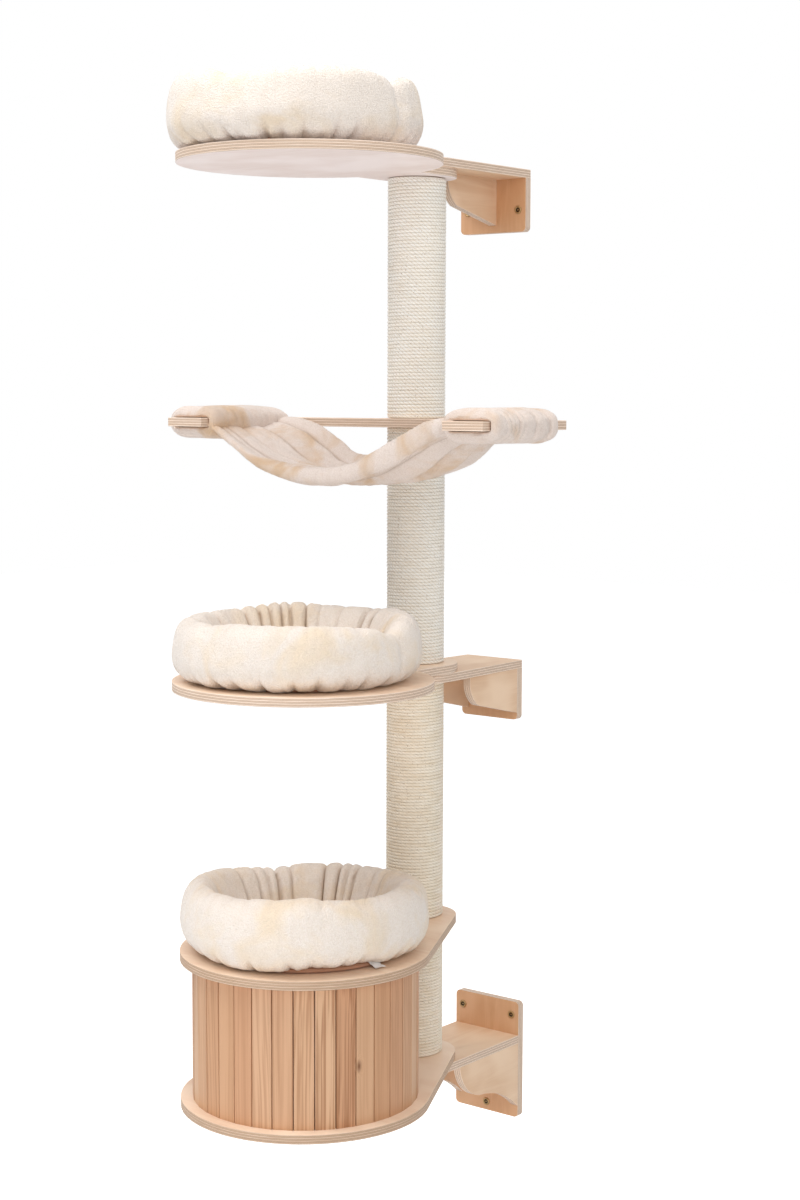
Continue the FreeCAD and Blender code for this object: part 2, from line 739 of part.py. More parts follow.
def bed(label, out, board_top):
    """A plush bed: a puffed rim with uneven pleats round a domed seat, ruled in flat facets."""
    depth = size("pleat_depth").value
    pitch = 360.0 / PLEAT_COUNT
    sections = []
    for number in range(PLEAT_COUNT):
        middle = pitch * number + PLEAT_STRAY * math.sin(PLEAT_DRIFT * number)
        sections.append(bed_section(middle, depth))
        sections.append(bed_section(middle + pitch / 2, 0))
    crown = FreeCAD.Vector(0, 0, size("bed_dome").value)
    facets = [facet(*[section[0] for section in sections])]
    for here, beyond in zip(sections, sections[1:] + sections[:1]):
        for index in range(len(here) - 1):
            facets.append(facet(here[index], beyond[index], beyond[index + 1]))
            facets.append(facet(here[index], beyond[index + 1], here[index + 1]))
        facets.append(facet(here[-1], beyond[-1], crown))
    feature = doc.addObject("Part::Feature", label)
    feature.Shape = Part.Solid(Part.Shell(facets))
    place(feature, y=POST_Y - out, z=board_top + size("bed_gap"))
    return keep(feature, label)


def make_tag():
    """A blank care tag on the cave's roof, sewn to the bed's foot."""
    tag = doc.addObject("Part::Box", "bed_tag")
    bind(tag, "Length", size("tag_long"))
    bind(tag, "Width", size("tag_wide"))
    bind(tag, "Height", size("tag_thick"))
    tag.Placement.Rotation = FreeCAD.Rotation(FreeCAD.Vector(0, 0, 1), TAG_TURN)
    place(tag, size("tag_start"),
          POST_Y - size("bed_out_cave") - size("tag_side") - size("tag_wide") / 2,
          LOW_POST_Z + size("bed_gap"))
    return keep(tag, "bed_tag")


# ---------------------------------------------------------------------------
# Assembly
# ---------------------------------------------------------------------------
make_brackets()
make_post()
make_joint_hardware()
platform("platform_top", size("platform_out"), size("tongue_top"), PLATFORM_TOP_Z)
platform("platform_middle", size("platform_out_middle"), size("tongue_middle"), PLATFORM_MIDDLE_Z)
cave_board("cave_roof", ROOF_Z)
cave_board("cave_floor", FLOOR_Z)
make_slats()
make_hammock_frame()
make_hammock_cloth()
bed("bed_top", size("bed_out_top"), PLATFORM_TOP_Z + BOARD)
bed("bed_middle", size("bed_out_middle"), MIDDLE_POST_Z)
bed("bed_cave", size("bed_out_cave"), LOW_POST_Z)
make_tag()
doc.recompute()

problems = []
for thing in doc.Objects:
    if "Invalid" in thing.State or "Error" in thing.State:
        problems.append("%s: %s" % (thing.Label, thing.State))
for node in nodes:
    if node.Shape.isNull() or not node.Shape.isValid():
        problems.append("%s: bad shape" % node.Label)
if problems:
    raise RuntimeError("; ".join(problems))

os.makedirs("parts", exist_ok=True)
triangles = 0
for node in nodes:
    node.Shape.exportStep(os.path.join("parts", node.Label + ".step"))
    points, faces = node.Shape.tessellate(0.5)
    triangles += len(faces)
    print("%-22s %2d solid(s) %10.1f cm3 %6d triangles" % (
        node.Label, len(node.Shape.Solids), node.Shape.Volume / 1000, len(faces)))
print("nodes %d, triangles %d" % (len(nodes), triangles))
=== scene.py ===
"""Wall mounted cat tree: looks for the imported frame. Metres, in the row frame.

X runs along the wall, Y points into the wall and Z points up. The post's axis is at POST_Y.
"""
import math
import random

import bmesh
import bpy
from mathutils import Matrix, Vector, noise


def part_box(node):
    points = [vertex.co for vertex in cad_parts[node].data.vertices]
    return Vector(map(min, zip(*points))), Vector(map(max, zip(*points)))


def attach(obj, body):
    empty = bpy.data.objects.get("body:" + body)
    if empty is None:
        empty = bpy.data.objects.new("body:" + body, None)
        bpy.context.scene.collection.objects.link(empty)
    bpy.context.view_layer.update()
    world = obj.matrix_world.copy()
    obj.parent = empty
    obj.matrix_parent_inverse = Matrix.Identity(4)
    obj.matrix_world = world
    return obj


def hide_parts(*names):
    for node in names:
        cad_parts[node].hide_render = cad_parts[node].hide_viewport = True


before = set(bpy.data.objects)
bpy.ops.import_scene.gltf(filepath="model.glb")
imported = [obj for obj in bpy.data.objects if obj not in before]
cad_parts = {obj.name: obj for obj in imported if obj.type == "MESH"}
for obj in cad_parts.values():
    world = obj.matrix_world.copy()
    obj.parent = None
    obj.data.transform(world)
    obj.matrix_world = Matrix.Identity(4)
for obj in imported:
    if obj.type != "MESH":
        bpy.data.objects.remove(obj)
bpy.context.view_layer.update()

POST_Y = -0.282
BOARD = 0.018            # every board's thickness
TAU = 2 * math.pi


# ---- Camera

def make_camera():
    """The photo's camera, which looks down, turns left and leans by so many degrees."""
    down, turn, lean = 5.63, 38.43, 0.18
    data = bpy.data.cameras.new("camera")
    data.sensor_width = 36.0
    data.lens = 62.69
    data.clip_end = 60.0
    camera = bpy.data.objects.new("camera", data)
    bpy.context.scene.collection.objects.link(camera)
    camera.location = (2.6624, -3.6893, 1.4587)
    camera.rotation_euler = (math.radians(90 - down), 0, math.radians(turn))
    camera.rotation_euler.rotate_axis("Z", math.radians(lean))
    bpy.context.scene.camera = camera


# ---- Materials

def colour(red, green, blue):
    """A colour given as it shows on a screen, from 0 to 255, as linear light."""
    def linear(level):
        level /= 255.0
        return level / 12.92 if level <= 0.04045 else ((level + 0.055) / 1.055) ** 2.4
    return (linear(red), linear(green), linear(blue), 1.0)


class Nodes:
    """A node tree whose nodes are made and joined by short calls."""

    def __init__(self, tree):
        self.tree = tree

    def node(self, kind, inputs=None, **settings):
        """A new node, its settings by name and its inputs by socket name or number."""
        made = self.tree.nodes.new(kind)
        for name, value in settings.items():
            setattr(made, name, value)
        for socket, value in (inputs or {}).items():
            self.feed(made.inputs[socket], value)
        return made

    def feed(self, socket, value):
        """Join an output to a socket, or set the socket to a plain value."""
        if isinstance(value, bpy.types.NodeSocket):
            self.tree.links.new(value, socket)
        else:
            socket.default_value = value

    def math(self, operation, *values):
        return self.node("ShaderNodeMath", dict(enumerate(values)),
                         operation=operation).outputs[0]


class Paint(Nodes):
    """A material, with calls for what its nodes work out."""

    def __init__(self, name, roughness, metallic=0.0, sheen=0.0):
        self.material = bpy.data.materials.new(name)
        self.material.use_nodes = True
        super().__init__(self.material.node_tree)
        self.shader = self.tree.nodes["Principled BSDF"]
        self.shader.inputs["Roughness"].default_value = roughness
        self.shader.inputs["Metallic"].default_value = metallic
        if sheen:
            self.shader.inputs["Sheen Weight"].default_value = sheen
            self.shader.inputs["Sheen Roughness"].default_value = 0.5
        coordinates = self.node("ShaderNodeTexCoord").outputs
        self.place = coordinates["Object"]
        self.normal = coordinates["Normal"]
        self.uv = coordinates["UV"]

    def split(self, vector):
        return self.node("ShaderNodeSeparateXYZ", {0: vector}).outputs

    def join(self, x, y, z):
        return self.node("ShaderNodeCombineXYZ", {0: x, 1: y, 2: z}).outputs[0]

    def vector(self, operation, first, second=(0, 0, 0)):
        return self.node("ShaderNodeVectorMath", {0: first, 1: second},
                         operation=operation).outputs

    def scaled(self, scale, vector=None):
        inputs = {"Vector": vector or self.place, "Scale": scale}
        return self.node("ShaderNodeMapping", inputs).outputs[0]

    def attribute(self, name):
        return self.node("ShaderNodeAttribute", attribute_name=name).outputs["Fac"]

    def noise(self, vector, scale=1.0, detail=2.0, rough=0.5, distortion=0.0):
        inputs = {"Vector": vector, "Scale": scale, "Detail": detail, "Roughness": rough,
                  "Distortion": distortion}
        return self.node("ShaderNodeTexNoise", inputs).outputs["Fac"]

    def grain(self, scales, *form, vector=None):
        """Noise with a scale of its own on each axis."""
        return self.noise(self.scaled(scales, vector), 1.0, *form)

    def cells(self, vector, scale):
        inputs = {"Vector": vector, "Scale": scale}
        return self.node("ShaderNodeTexVoronoi", inputs).outputs["Distance"]

    def chance(self, value):
        """A random number from 0 to 1 for each value."""
        return self.node("ShaderNodeTexWhiteNoise", {"W": value},
                         noise_dimensions="1D").outputs["Value"]

    def ramp(self, value, *stops):
        made = self.node("ShaderNodeValToRGB", {0: value})
        elements = made.color_ramp.elements
        while len(elements) < len(stops):
            elements.new(1.0)
        for element, (place, shade) in zip(elements, stops):
            element.position = place
            element.color = shade
        return made.outputs["Color"]

    def band(self, value, low, high, top=1.0):
        """From 0 at low to top at high, clipped."""
        inputs = {"Value": value, "From Min": low, "From Max": high, "To Max": top}
        return self.node("ShaderNodeMapRange", inputs, clamp=True).outputs["Result"]

    def mix(self, share, first, second):
        inputs = {0: share, 6: first, 7: second}
        return self.node("ShaderNodeMix", inputs, data_type="RGBA").outputs[2]

    def bump(self, height, strength, distance):
        inputs = {"Height": height, "Strength": strength, "Distance": distance}
        return self.node("ShaderNodeBump", inputs).outputs[0]

    def finish(self, base, normal=None):
        self.feed(self.shader.inputs["Base Color"], base)
        if normal is not None:
            self.feed(self.shader.inputs["Normal"], normal)
        return self.material


PLIES = 7
GLUE_LINE = 0.18         # share of a ply's thickness that its glue line takes


def stretched(scale, axis, other):
    """One scale on two axes and another on the third."""
    scales = [scale] * 3
    scales[axis] = other
    return scales


def plywood(name, axis, start, grain, light, dark, edge_light, edge_dark):
    """Birch plywood: veneer on its faces and plies on its edges.

    axis is the one the board is thick along, start is where the board begins on it, and grain is
    the axis that the veneer's grain runs along.
    """
    paint = Paint(name, 0.5)
    above = paint.math("SUBTRACT", paint.split(paint.place)[axis], start)
    wobble = paint.math("MULTIPLY_ADD", paint.noise(paint.place, 9.0), 0.3, -0.15)
    level = paint.math("ADD", paint.math("MULTIPLY", above, PLIES / BOARD), wobble)
    odd = paint.math("GREATER_THAN", paint.math("MODULO", level, 2.0), 1.0)
    glue = paint.math("LESS_THAN", paint.math("FRACT", level), GLUE_LINE)
    # long grain shows as streaks in every other ply, and end grain as fine dots in the rest
    streaks = paint.grain(stretched(24.0, axis, 900.0), 3.0, 0.6)
    dots = paint.grain((700.0, 700.0, 700.0), 2.0, 0.6)
    long_ply = paint.mix(paint.band(streaks, 0.3, 0.7), edge_light, edge_dark)
    end_ply = paint.mix(dots, edge_dark, colour(170, 132, 102))
    edge = paint.mix(paint.math("MULTIPLY", odd, 0.78), long_ply, end_ply)
    edge = paint.mix(paint.math("MULTIPLY", glue, 0.78), edge, colour(104, 72, 52))
    # veneer: broad waves across the grain, fine fibres along it, and a few darker lines
    waves = paint.grain(stretched(22.0, grain, 1.9), 5.0, 0.62, 1.3)
    fibres = paint.grain(stretched(520.0, grain, 14.0), 3.0, 0.6)
    lines = paint.grain(stretched(110.0, grain, 9.5), 3.0, 0.5, 0.8)
    face = paint.ramp(waves, (0.30, light), (0.52, dark), (0.72, light))
    face = paint.mix(paint.band(lines, 0.52, 0.72, 0.30), face, dark)
    face = paint.mix(paint.math("MULTIPLY", fibres, 0.14), face, colour(176, 132, 98))
    face = paint.mix(paint.band(paint.noise(paint.place, 7.0), 0.44, 0.64), face, light)
    facing = paint.math("ABSOLUTE", paint.split(paint.normal)[axis])
    on_face = paint.math("GREATER_THAN", facing, 0.75)
    height = paint.mix(on_face, paint.math("SUBTRACT", dots, glue), fibres)
    return paint.finish(paint.mix(on_face, edge, face), paint.bump(height, 0.25, 0.0004))


def pine(name, knot):
    """Pine slats: each has its own tone and its own upright grain, and one has a knot."""
    paint = Paint(name, 0.48)
    number = paint.attribute("slat")
    tone = paint.chance(number)
    other = paint.chance(paint.math("ADD", number, 40.5))
    third = paint.chance(paint.math("ADD", number, 71.3))
    parts = paint.split(paint.place)
    # the grain bends round the knot, whose middle is a dark spot, taller than wide
    flatter = 0.45
    away = paint.vector("SUBTRACT", paint.scaled((1.0, 1.0, flatter)),
                        (knot[0], knot[1], knot[2] * flatter))
    span = paint.vector("LENGTH", away[0])["Value"]
    near = paint.math("SUBTRACT", 1.0, paint.band(span, 0.0005, 0.0120))
    # each slat is cut from its own place in the log
    shift = paint.join(
        paint.math("MULTIPLY_ADD", tone, 7.0, parts[0]),
        paint.math("MULTIPLY_ADD", other, 5.0, parts[1]),
        paint.math("MULTIPLY_ADD", third, 3.0, parts[2]))
    bent = paint.grain((5.0, 5.0, 1.2), vector=shift)
    sway = paint.math("MULTIPLY_ADD", near, 5.0, paint.math("MULTIPLY", bent, 12.0))
    rings = paint.vector("ADD", paint.scaled((210.0, 210.0, 1.8), shift),
                         paint.join(sway, 0.0, 0.0))
    stripes = paint.noise(rings[0], 1.0, 2.0, 0.45)
    fibres = paint.grain((1100.0, 1100.0, 16.0), vector=shift)
    pale = paint.mix(tone, colour(216, 176, 140), colour(202, 154, 116))
    pale = paint.mix(paint.band(third, 0.62, 0.66), pale, colour(202, 153, 116))
    deep = paint.mix(other, colour(178, 128, 86), colour(158, 108, 72))
    contrast = paint.math("MULTIPLY_ADD", other, 0.75, 0.20)
    ringed = paint.math("MULTIPLY", paint.band(stripes, 0.44, 0.60), contrast)
    base = paint.mix(ringed, pale, deep)
    base = paint.mix(paint.math("MULTIPLY", fibres, 0.20), base, colour(164, 116, 82))
    base = paint.mix(paint.band(near, 0.45, 0.95), base, colour(128, 84, 52))
    return paint.finish(base, paint.bump(paint.math("ADD", stripes, fibres), 0.22, 0.0005))


def rope_paint(name, light, shade):
    """Sisal rope: three strands laid round each other, with loose fibres."""
    paint = Paint(name, 0.85, sheen=0.12)
    along, around, _ = paint.split(paint.uv)
    turn = paint.math("MULTIPLY", paint.math("ADD", along, around), 3 * TAU)
    groove = paint.band(paint.math("SINE", turn), -1.0, -0.50)
    fibres = paint.grain((1500.0, 1500.0, 1500.0), 3.0, 0.7)
    patches = paint.grain((28.0, 28.0, 90.0), 4.0, 0.6)
    flecks = paint.grain((420.0, 420.0, 420.0), 1.0)
    base = paint.ramp(patches, (0.34, light), (0.68, shade))
    base = paint.mix(paint.math("MULTIPLY", fibres, 0.12), base, colour(222, 206, 180))
    # painted shade: the grooves between the strands are a darker cream
    base = paint.mix(groove, colour(236, 226, 208), base)
    base = paint.mix(paint.band(flecks, 0.67, 0.71, 0.65), base, colour(148, 118, 84))
    height = paint.math("MULTIPLY_ADD", fibres, 0.35, groove)
    return paint.finish(base, paint.bump(height, 0.55, 0.0010))


def fleece(name, light, shade, warm, curl=300.0):
    """Plush fleece: a short curly nap, darker between its tufts, with soft warm patches."""
    paint = Paint(name, 0.95, sheen=0.30)
    bent = paint.noise(paint.place, 160.0)
    bend = [paint.math("MULTIPLY", bent, share) for share in (0.006, -0.005)]
    moved = paint.vector("ADD", paint.place, paint.join(*bend, 0.0))[0]
    tufts = paint.cells(moved, curl)
    hair = paint.noise(moved, 1500.0, 2.0, 0.7)
    mottle = paint.noise(paint.place, 9.0, 3.0, 0.6, 0.6)
    streaky = paint.grain((46.0, 46.0, 22.0), 4.0, 0.65)
    base = paint.mix(paint.band(mottle, 0.46, 0.66), light, warm)
    base = paint.mix(paint.band(streaky, 0.50, 0.80, 0.30), base, shade)
    base = paint.mix(paint.band(tufts, 0.25, 0.80, 0.30), base, shade)
    # painted shade: little light reaches the bottom of a crease
    fold = paint.math("MULTIPLY", paint.attribute("crease"), 0.80)
    base = paint.mix(fold, base, colour(158, 122, 92))
    height = paint.math("SUBTRACT", paint.math("MULTIPLY", hair, 0.35), tufts)
    return paint.finish(base, paint.bump(height, 0.60, 0.0024))


def woven(name, light, dark, scale=900.0):
    """Plain woven cloth: fine threads both ways."""
    paint = Paint(name, 0.8, sheen=0.1)
    parts = paint.split(paint.place)
    threads = [paint.math("MULTIPLY", paint.math(way, parts[axis], parts[2]), scale * 3)
               for way, axis in (("ADD", 0), ("SUBTRACT", 1))]
    warp, weft = (paint.math("SINE", thread) for thread in threads)
    cloth = paint.math("MULTIPLY_ADD", paint.math("MULTIPLY", warp, weft), 0.5, 0.5)
    return paint.finish(paint.mix(cloth, dark, light), paint.bump(cloth, 0.3, 0.0004))


def metal(name, base, dark, roughness):
    """Turned metal with faint wear."""
    paint = Paint(name, roughness, metallic=1.0)
    wear = paint.noise(paint.place, 900.0, 3.0)
    return paint.finish(paint.mix(paint.band(wear, 0.35, 0.7), base, dark),
                        paint.bump(wear, 0.1, 0.0002))


def timber(name):
    """Turned softwood for the post's cores, hidden under the rope."""
    paint = Paint(name, 0.7)
    grain = paint.grain((90.0, 90.0, 4.0), 4.0)
    return paint.finish(paint.mix(grain, colour(206, 176, 138), colour(172, 138, 98)),
                        paint.bump(grain, 0.2, 0.0005))


# a paler, pinker veneer for the top platform: partly its own tone, partly painted light from below
# on its underside
PALE_AND_LIT = (colour(248, 236, 233), colour(240, 225, 220))
BIRCH = (colour(248, 224, 200), colour(238, 207, 180))
# a deeper, warmer veneer for the arms and cheeks: partly their own tone, partly painted shade for
# the shaded places round the brackets
WARM_AND_SHADED = (colour(238, 208, 178), colour(226, 190, 156))
PLATE = (colour(222, 176, 136), colour(208, 158, 116))
EDGE = (colour(246, 228, 212), colour(228, 202, 178))
# darker edge colours for the cave's boards: painted shade for the low part of the tree
SHADED_LOW_EDGE = (colour(218, 192, 168), colour(196, 166, 138))


def dress(node, material):
    """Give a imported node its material."""
    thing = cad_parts[node]
    thing.data.materials.clear()
    thing.data.materials.append(material)


def dress_board(node, *wood):
    """Give a board its plywood, and ease its edges a little, as sanding does."""
    dress(node, plywood("ply_" + node, *wood))
    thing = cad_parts[node]
    weld = thing.modifiers.new("weld", "WELD")
    weld.merge_threshold = 0.00002
    bevel = thing.modifiers.new("ease", "BEVEL")
    bevel.width = 0.0009
    bevel.segments = 2
    bevel.limit_method = "ANGLE"
    bevel.angle_limit = math.radians(50)
    bevel.harden_normals = False


def dress_frame():
    """Materials for the frame's nodes that show as packed."""
    # flat boards: where each one starts along Z, its grain's axis and its veneer
    flat = {
        "arm_bottom": (0.038, 1, WARM_AND_SHADED),
        "arm_middle": (0.868, 1, WARM_AND_SHADED),
        "arm_top": (1.914, 1, WARM_AND_SHADED),
        "platform_top": (1.896, 0, PALE_AND_LIT),
        "platform_middle": (0.886, 0, BIRCH),
        "cave_roof": (0.351, 0, BIRCH),
        "cave_floor": (0.056, 0, BIRCH),
        "hammock_frame": (1.391, 0, BIRCH),
    }
    for node, (start, grain, veneer) in flat.items():
        # the cave's boards take the darker edge colours, as painted shade
        edge = SHADED_LOW_EDGE if node.startswith("cave") else EDGE
        dress_board(node, 2, start, grain, *veneer, *edge)
    for place in ("bottom", "middle", "top"):
        dress_board("wall_plate_" + place, 1, -BOARD, 2, *PLATE, *EDGE)
    for place in ("bottom_left", "bottom_right", "middle_left", "middle_right", "top"):
        low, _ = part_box("cheek_" + place)
        dress_board("cheek_" + place, 0, low.x, 1, *WARM_AND_SHADED, *EDGE)
    steel = metal("joint_steel", colour(172, 170, 166), colour(126, 124, 120), 0.35)
    for node in ("stud_roof", "stud_middle", "stud_hammock", "joint_bolt_bottom",
                 "joint_bolt_top"):
        dress(node, steel)
    core = timber("core_timber")
    for place in ("cave", "low", "middle", "top"):
        dress("post_core_" + place, core)


# ---- Meshes

def clip(value):
    return max(0.0, min(1.0, value))


def piece_from(work, name, material, body=None):
    """Make a mesh in work a piece, its faces turned outwards, on its body where one is given."""
    bmesh.ops.recalc_face_normals(work, faces=work.faces)
    mesh = bpy.data.meshes.new(name)
    work.to_mesh(mesh)
    work.free()
    mesh.materials.append(material)
    piece = bpy.data.objects.new(name, mesh)
    bpy.context.scene.collection.objects.link(piece)
    if body:
        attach(piece, body)
    return piece


def smooth_piece(name, vertices, faces, material, body=None):
    """A closed piece from its points and faces, shaded smooth."""
    given = bpy.data.meshes.new(name + "_given")
    given.from_pydata(vertices, [], faces)
    given.validate()
    work = bmesh.new()
    work.from_mesh(given)
    bpy.data.meshes.remove(given)
    for face in work.faces:
        face.smooth = True
    return piece_from(work, name, material, body)


def wrapped_faces(rows, columns, close_rows=True):
    """Quads over a grid whose columns close on themselves, and whose rows may."""
    faces = []
    for row in range(rows if close_rows else rows - 1):
        after = (row + 1) % rows
        for column in range(columns):
            beside = (column + 1) % columns
            faces.append((row * columns + column, row * columns + beside,
                          after * columns + beside, after * columns + column))
    return faces


def capped_faces(rows, columns):
    """Faces of a tube of rows rings with columns points each, and of its two flat ends."""
    last = (rows - 1) * columns
    return wrapped_faces(rows, columns, close_rows=False) + [
        tuple(range(columns))[::-1], tuple(range(last, last + columns))]


def angles(count):
    """Even angles round a circle."""
    return [step / count * TAU for step in range(count)]


def around_axis(centre, radius, angle, height):
    """A point on a circle round the upright axis through centre."""
    return (centre.x + radius * math.cos(angle), centre.y + radius * math.sin(angle),
            centre.z + height)


def puff(piece, pinned, pressure, grow, cap, frames=18):
    """Inflate a piece as cloth that is a little too large for its form, and keep what comes out.

    pinned gives each vertex's hold from 0 to 1, and cap how far a point may move.
    """
    stiffness = 8.0
    scene = bpy.context.scene
    start = [vertex.co.copy() for vertex in piece.data.vertices]
    group = piece.vertex_groups.new(name="held")
    for index, hold in enumerate(pinned):
        if hold > 0:
            group.add([index], min(hold, 1.0), "REPLACE")
    modifier = piece.modifiers.new("cloth", "CLOTH")
    modifier.settings.effector_weights.gravity = 0.0
    for name, value in dict(
            quality=5, mass=0.3, tension_stiffness=stiffness, compression_stiffness=stiffness,
            shear_stiffness=stiffness / 3, bending_stiffness=0.6, air_damping=3.0,
            vertex_group_mass="held", use_pressure=True, uniform_pressure_force=pressure,
            shrink_min=-grow).items():
        setattr(modifier.settings, name, value)
    modifier.collision_settings.use_collision = False
    scene.frame_start = 1
    scene.frame_end = frames
    for step in range(1, frames + 1):
        scene.frame_set(step)
    settled = piece.evaluated_get(bpy.context.evaluated_depsgraph_get())
    moved = [vertex.co.copy() for vertex in settled.data.vertices]
    piece.modifiers.remove(modifier)
    piece.vertex_groups.remove(group)
    scene.frame_set(1)
    for vertex, before, after in zip(piece.data.vertices, start, moved):
        step = after - before
        if step.length > cap:
            step *= cap / step.length
        vertex.co = before + step
    piece.data.update()


def press_in(piece, depths):
    """Move each point inwards along its normal."""
    moved = [vertex.co - vertex.normal * depth
             for vertex, depth in zip(piece.data.vertices, depths)]
    for vertex, place in zip(piece.data.vertices, moved):
        vertex.co = place
    piece.data.update()


def mark(piece, lines):
    """Give each point how deep in a crease it lies, which the fleece material darkens as painted
    shade.
    """
    layer = piece.data.attributes.new("crease", "FLOAT", "POINT")
    for row, line in zip(layer.data, lines):
        row.value = line


def relax(piece, factor):
    """Even out a mesh's points a little."""
    work = bmesh.new()
    work.from_mesh(piece.data)
    bmesh.ops.smooth_vert(work, verts=work.verts, factor=factor,
                          use_axis_x=True, use_axis_y=True, use_axis_z=True)
    work.to_mesh(piece.data)
    work.free()


# ---- Rope windings

ROPE_STEPS = 64          # in a turn
ROPE_SIDES = 8
ROPE_LAY = 0.026         # length of rope in which a strand goes once round it
ROPE_OUTSIDE = 0.0602    # the winding's outer radius
ROPE_THICK = 0.53        # the rope's radius as a share of its pitch: each turn presses the next
END_GAP = 0.0004         # between a winding and the boards at its ends


def winding(name, bottom, top, pitch, material):
    """One unbroken rope laid turn on turn from board to board, with a level turn at each end."""
    radius = pitch * ROPE_THICK
    reach = ROPE_OUTSIDE - radius
    rising = (top - bottom - 2 * radius) / pitch
    count = int((rising + 2) * ROPE_STEPS)
    vertices = []
    for step in range(count + 1):
        turn = step / ROPE_STEPS
        angle = turn * TAU
        height = bottom + radius + min(max(turn - 1, 0), rising) * pitch
        loose = 0.00022 * noise.noise(Vector((turn * 1.7, height * 30, 0.3)))
        # the rope tapers in beside its own next turn, where it would lie on it
        ends = min(turn, count / ROPE_STEPS - turn)
        thick = radius * min(1.0, 0.25 + ends * 0.9)
        for lean in angles(ROPE_SIDES):
            out = reach + loose + thick * math.cos(lean)
            vertices.append((out * math.cos(angle), POST_Y + out * math.sin(angle),
                             height + thick * math.sin(lean)))
    piece = smooth_piece(name, vertices, capped_faces(count + 1, ROPE_SIDES), material,
                         "frame")
    layer = piece.data.uv_layers.new(name="lay")
    length = TAU * reach / ROPE_STEPS
    for polygon in piece.data.polygons:
        sides = [corner % ROPE_SIDES for corner in polygon.vertices]
        # a quad from the last side to the first one ends at a whole turn round the rope
        closing = len(sides) == 4 and 0 in sides and ROPE_SIDES - 1 in sides
        for index, corner, side in zip(polygon.loop_indices, polygon.vertices, sides):
            if closing and side == 0:
                side = ROPE_SIDES
            layer.data[index].uv = (corner // ROPE_SIDES * length / ROPE_LAY, side / ROPE_SIDES)
    return piece


def make_windings():
    # the cave and low windings take a darker, warmer cream: partly their own batch of sisal, partly
    # painted shade for the lower part, which less light reaches
    upper_tone = (colour(255, 253, 248), colour(252, 246, 236))
    lower_tone_and_shade = (colour(252, 244, 230), colour(242, 228, 206))
    for place, pitch, shades in (("cave", 0.0067, lower_tone_and_shade), ("low", 0.0067, lower_tone_and_shade),
                                 ("middle", 0.0071, upper_tone), ("top", 0.0072, upper_tone)):
        low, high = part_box("sisal_" + place)
        piece = winding("rope_" + place, low.z + END_GAP, high.z - END_GAP, pitch,
                        rope_paint("sisal_rope_" + place, *shades))
        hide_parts("sisal_" + place)


# ---- Slats

SLATS = 29
SLAT_PITCH = 10.45       # degrees
SLAT_START = 159.6       # degrees, from +X towards the room
SLAT_WIDE = 0.0386
SLAT_THICK = 0.010
CAVE_AXIS = Vector((0, POST_Y - 0.349, 0))
CAVE_RADIUS = 0.2235     # to the slats' outer faces
KNOT = (0.207, -0.715, 0.190)


def make_slats():
    """The cave's slats, with eased edges, each a hair off true."""
    chance = random.Random(11)
    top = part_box("cave_roof")[0].z
    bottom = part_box("cave_floor")[1].z
    work = bmesh.new()
    layer = work.faces.layers.float.new("slat")
    for number in range(SLATS):
        angle = -math.radians(SLAT_START - (number + 0.5) * SLAT_PITCH)
        out = Vector((math.cos(angle), math.sin(angle), 0))
        along = Vector((-out.y, out.x, 0))
        push = chance.uniform(-0.0006, 0.0003)
        half = SLAT_WIDE / 2 + chance.uniform(-0.0001, 0.0003)
        corners = []
        for z in (bottom, top):
            for depth, side in ((-SLAT_THICK, -half), (0, -half), (0, half), (-SLAT_THICK, half)):
                place = CAVE_AXIS + out * (CAVE_RADIUS + depth + push) + along * side
                corners.append(work.verts.new((place.x, place.y, z)))
        for a in range(4):
            b = (a + 1) % 4
            work.faces.new((corners[a], corners[b], corners[4 + b], corners[4 + a]))
        work.faces.new(corners[3::-1])
        work.faces.new(corners[4:])
        uprights = [work.edges.get((corners[a], corners[4 + a])) for a in range(4)]
        bmesh.ops.bevel(work, geom=uprights, offset=0.0007, segments=2, affect="EDGES",
                        profile=0.6)
    # each face takes its slat's number from the angle that it stands at
    for face in work.faces:
        place = face.calc_center_median() - CAVE_AXIS
        turn = -math.degrees(math.atan2(place.y, place.x))
        face[layer] = int(((SLAT_START - turn) % 360) / SLAT_PITCH) + 1
    piece = piece_from(work, "slats", pine("pine_slats", KNOT), "frame")
    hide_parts("cave_slats")


# ---- Beds

def wave(angle, seed, orders, falloff=1.0):
    """A smooth periodic wander, about -1 to 1, with its own seed."""
    chance = random.Random(seed)
    total = weights = 0.0
    for order in orders:
        share = 1.0 / order ** falloff
        total += share * math.sin(order * angle + chance.uniform(0, TAU))
        weights += share
    return total / weights * 1.4


def crease(angle, places, width):
    """A crease's depth where it lies, falling to 0 about a width away."""
    best = 0.0
    for place, depth, wide in places:
        gap = abs((angle - place + math.pi) % TAU - math.pi)
        best = max(best, depth * math.exp(-(gap / (width * wide)) ** 1.3))
    return best


def scatter(seed, count, stray):
    """Crease places round a bed: (angle, depth, width)."""
    chance = random.Random(seed)
    return [((number + chance.uniform(-stray, stray)) / count * TAU,
             chance.uniform(0.45, 1.0), chance.uniform(0.7, 1.6)) for number in range(count)]


def hand_set(places):
    """Crease places from ones whose angle is in degrees."""
    return [(math.radians(place), depth, wide) for place, depth, wide in places]


def through(points, place, period=None):
    """A smooth curve through given (place, value) points, which may run round a period."""
    points = list(points)
    if period:
        place = points[0][0] + (place - points[0][0]) % period
        points = [(points[-1][0] - period, points[-1][1])] + points \
            + [(at + period, value) for at, value in points[:2]]
    last = len(points) - 1
    number = 0
    while number < last - 1 and place > points[number + 1][0]:
        number += 1

    def slope(index):
        before, after = points[max(index - 1, 0)], points[min(index + 1, last)]
        return (after[1] - before[1]) / (after[0] - before[0])

    (start, low), (end, high) = points[number], points[number + 1]
    span = end - start
    t = clip((place - start) / span)
    return ((2 * t - 3) * t * t + 1) * low + (3 - 2 * t) * t * t * high \
        + span * t * (1 - t) * ((1 - t) * slope(number) - t * slope(number + 1))


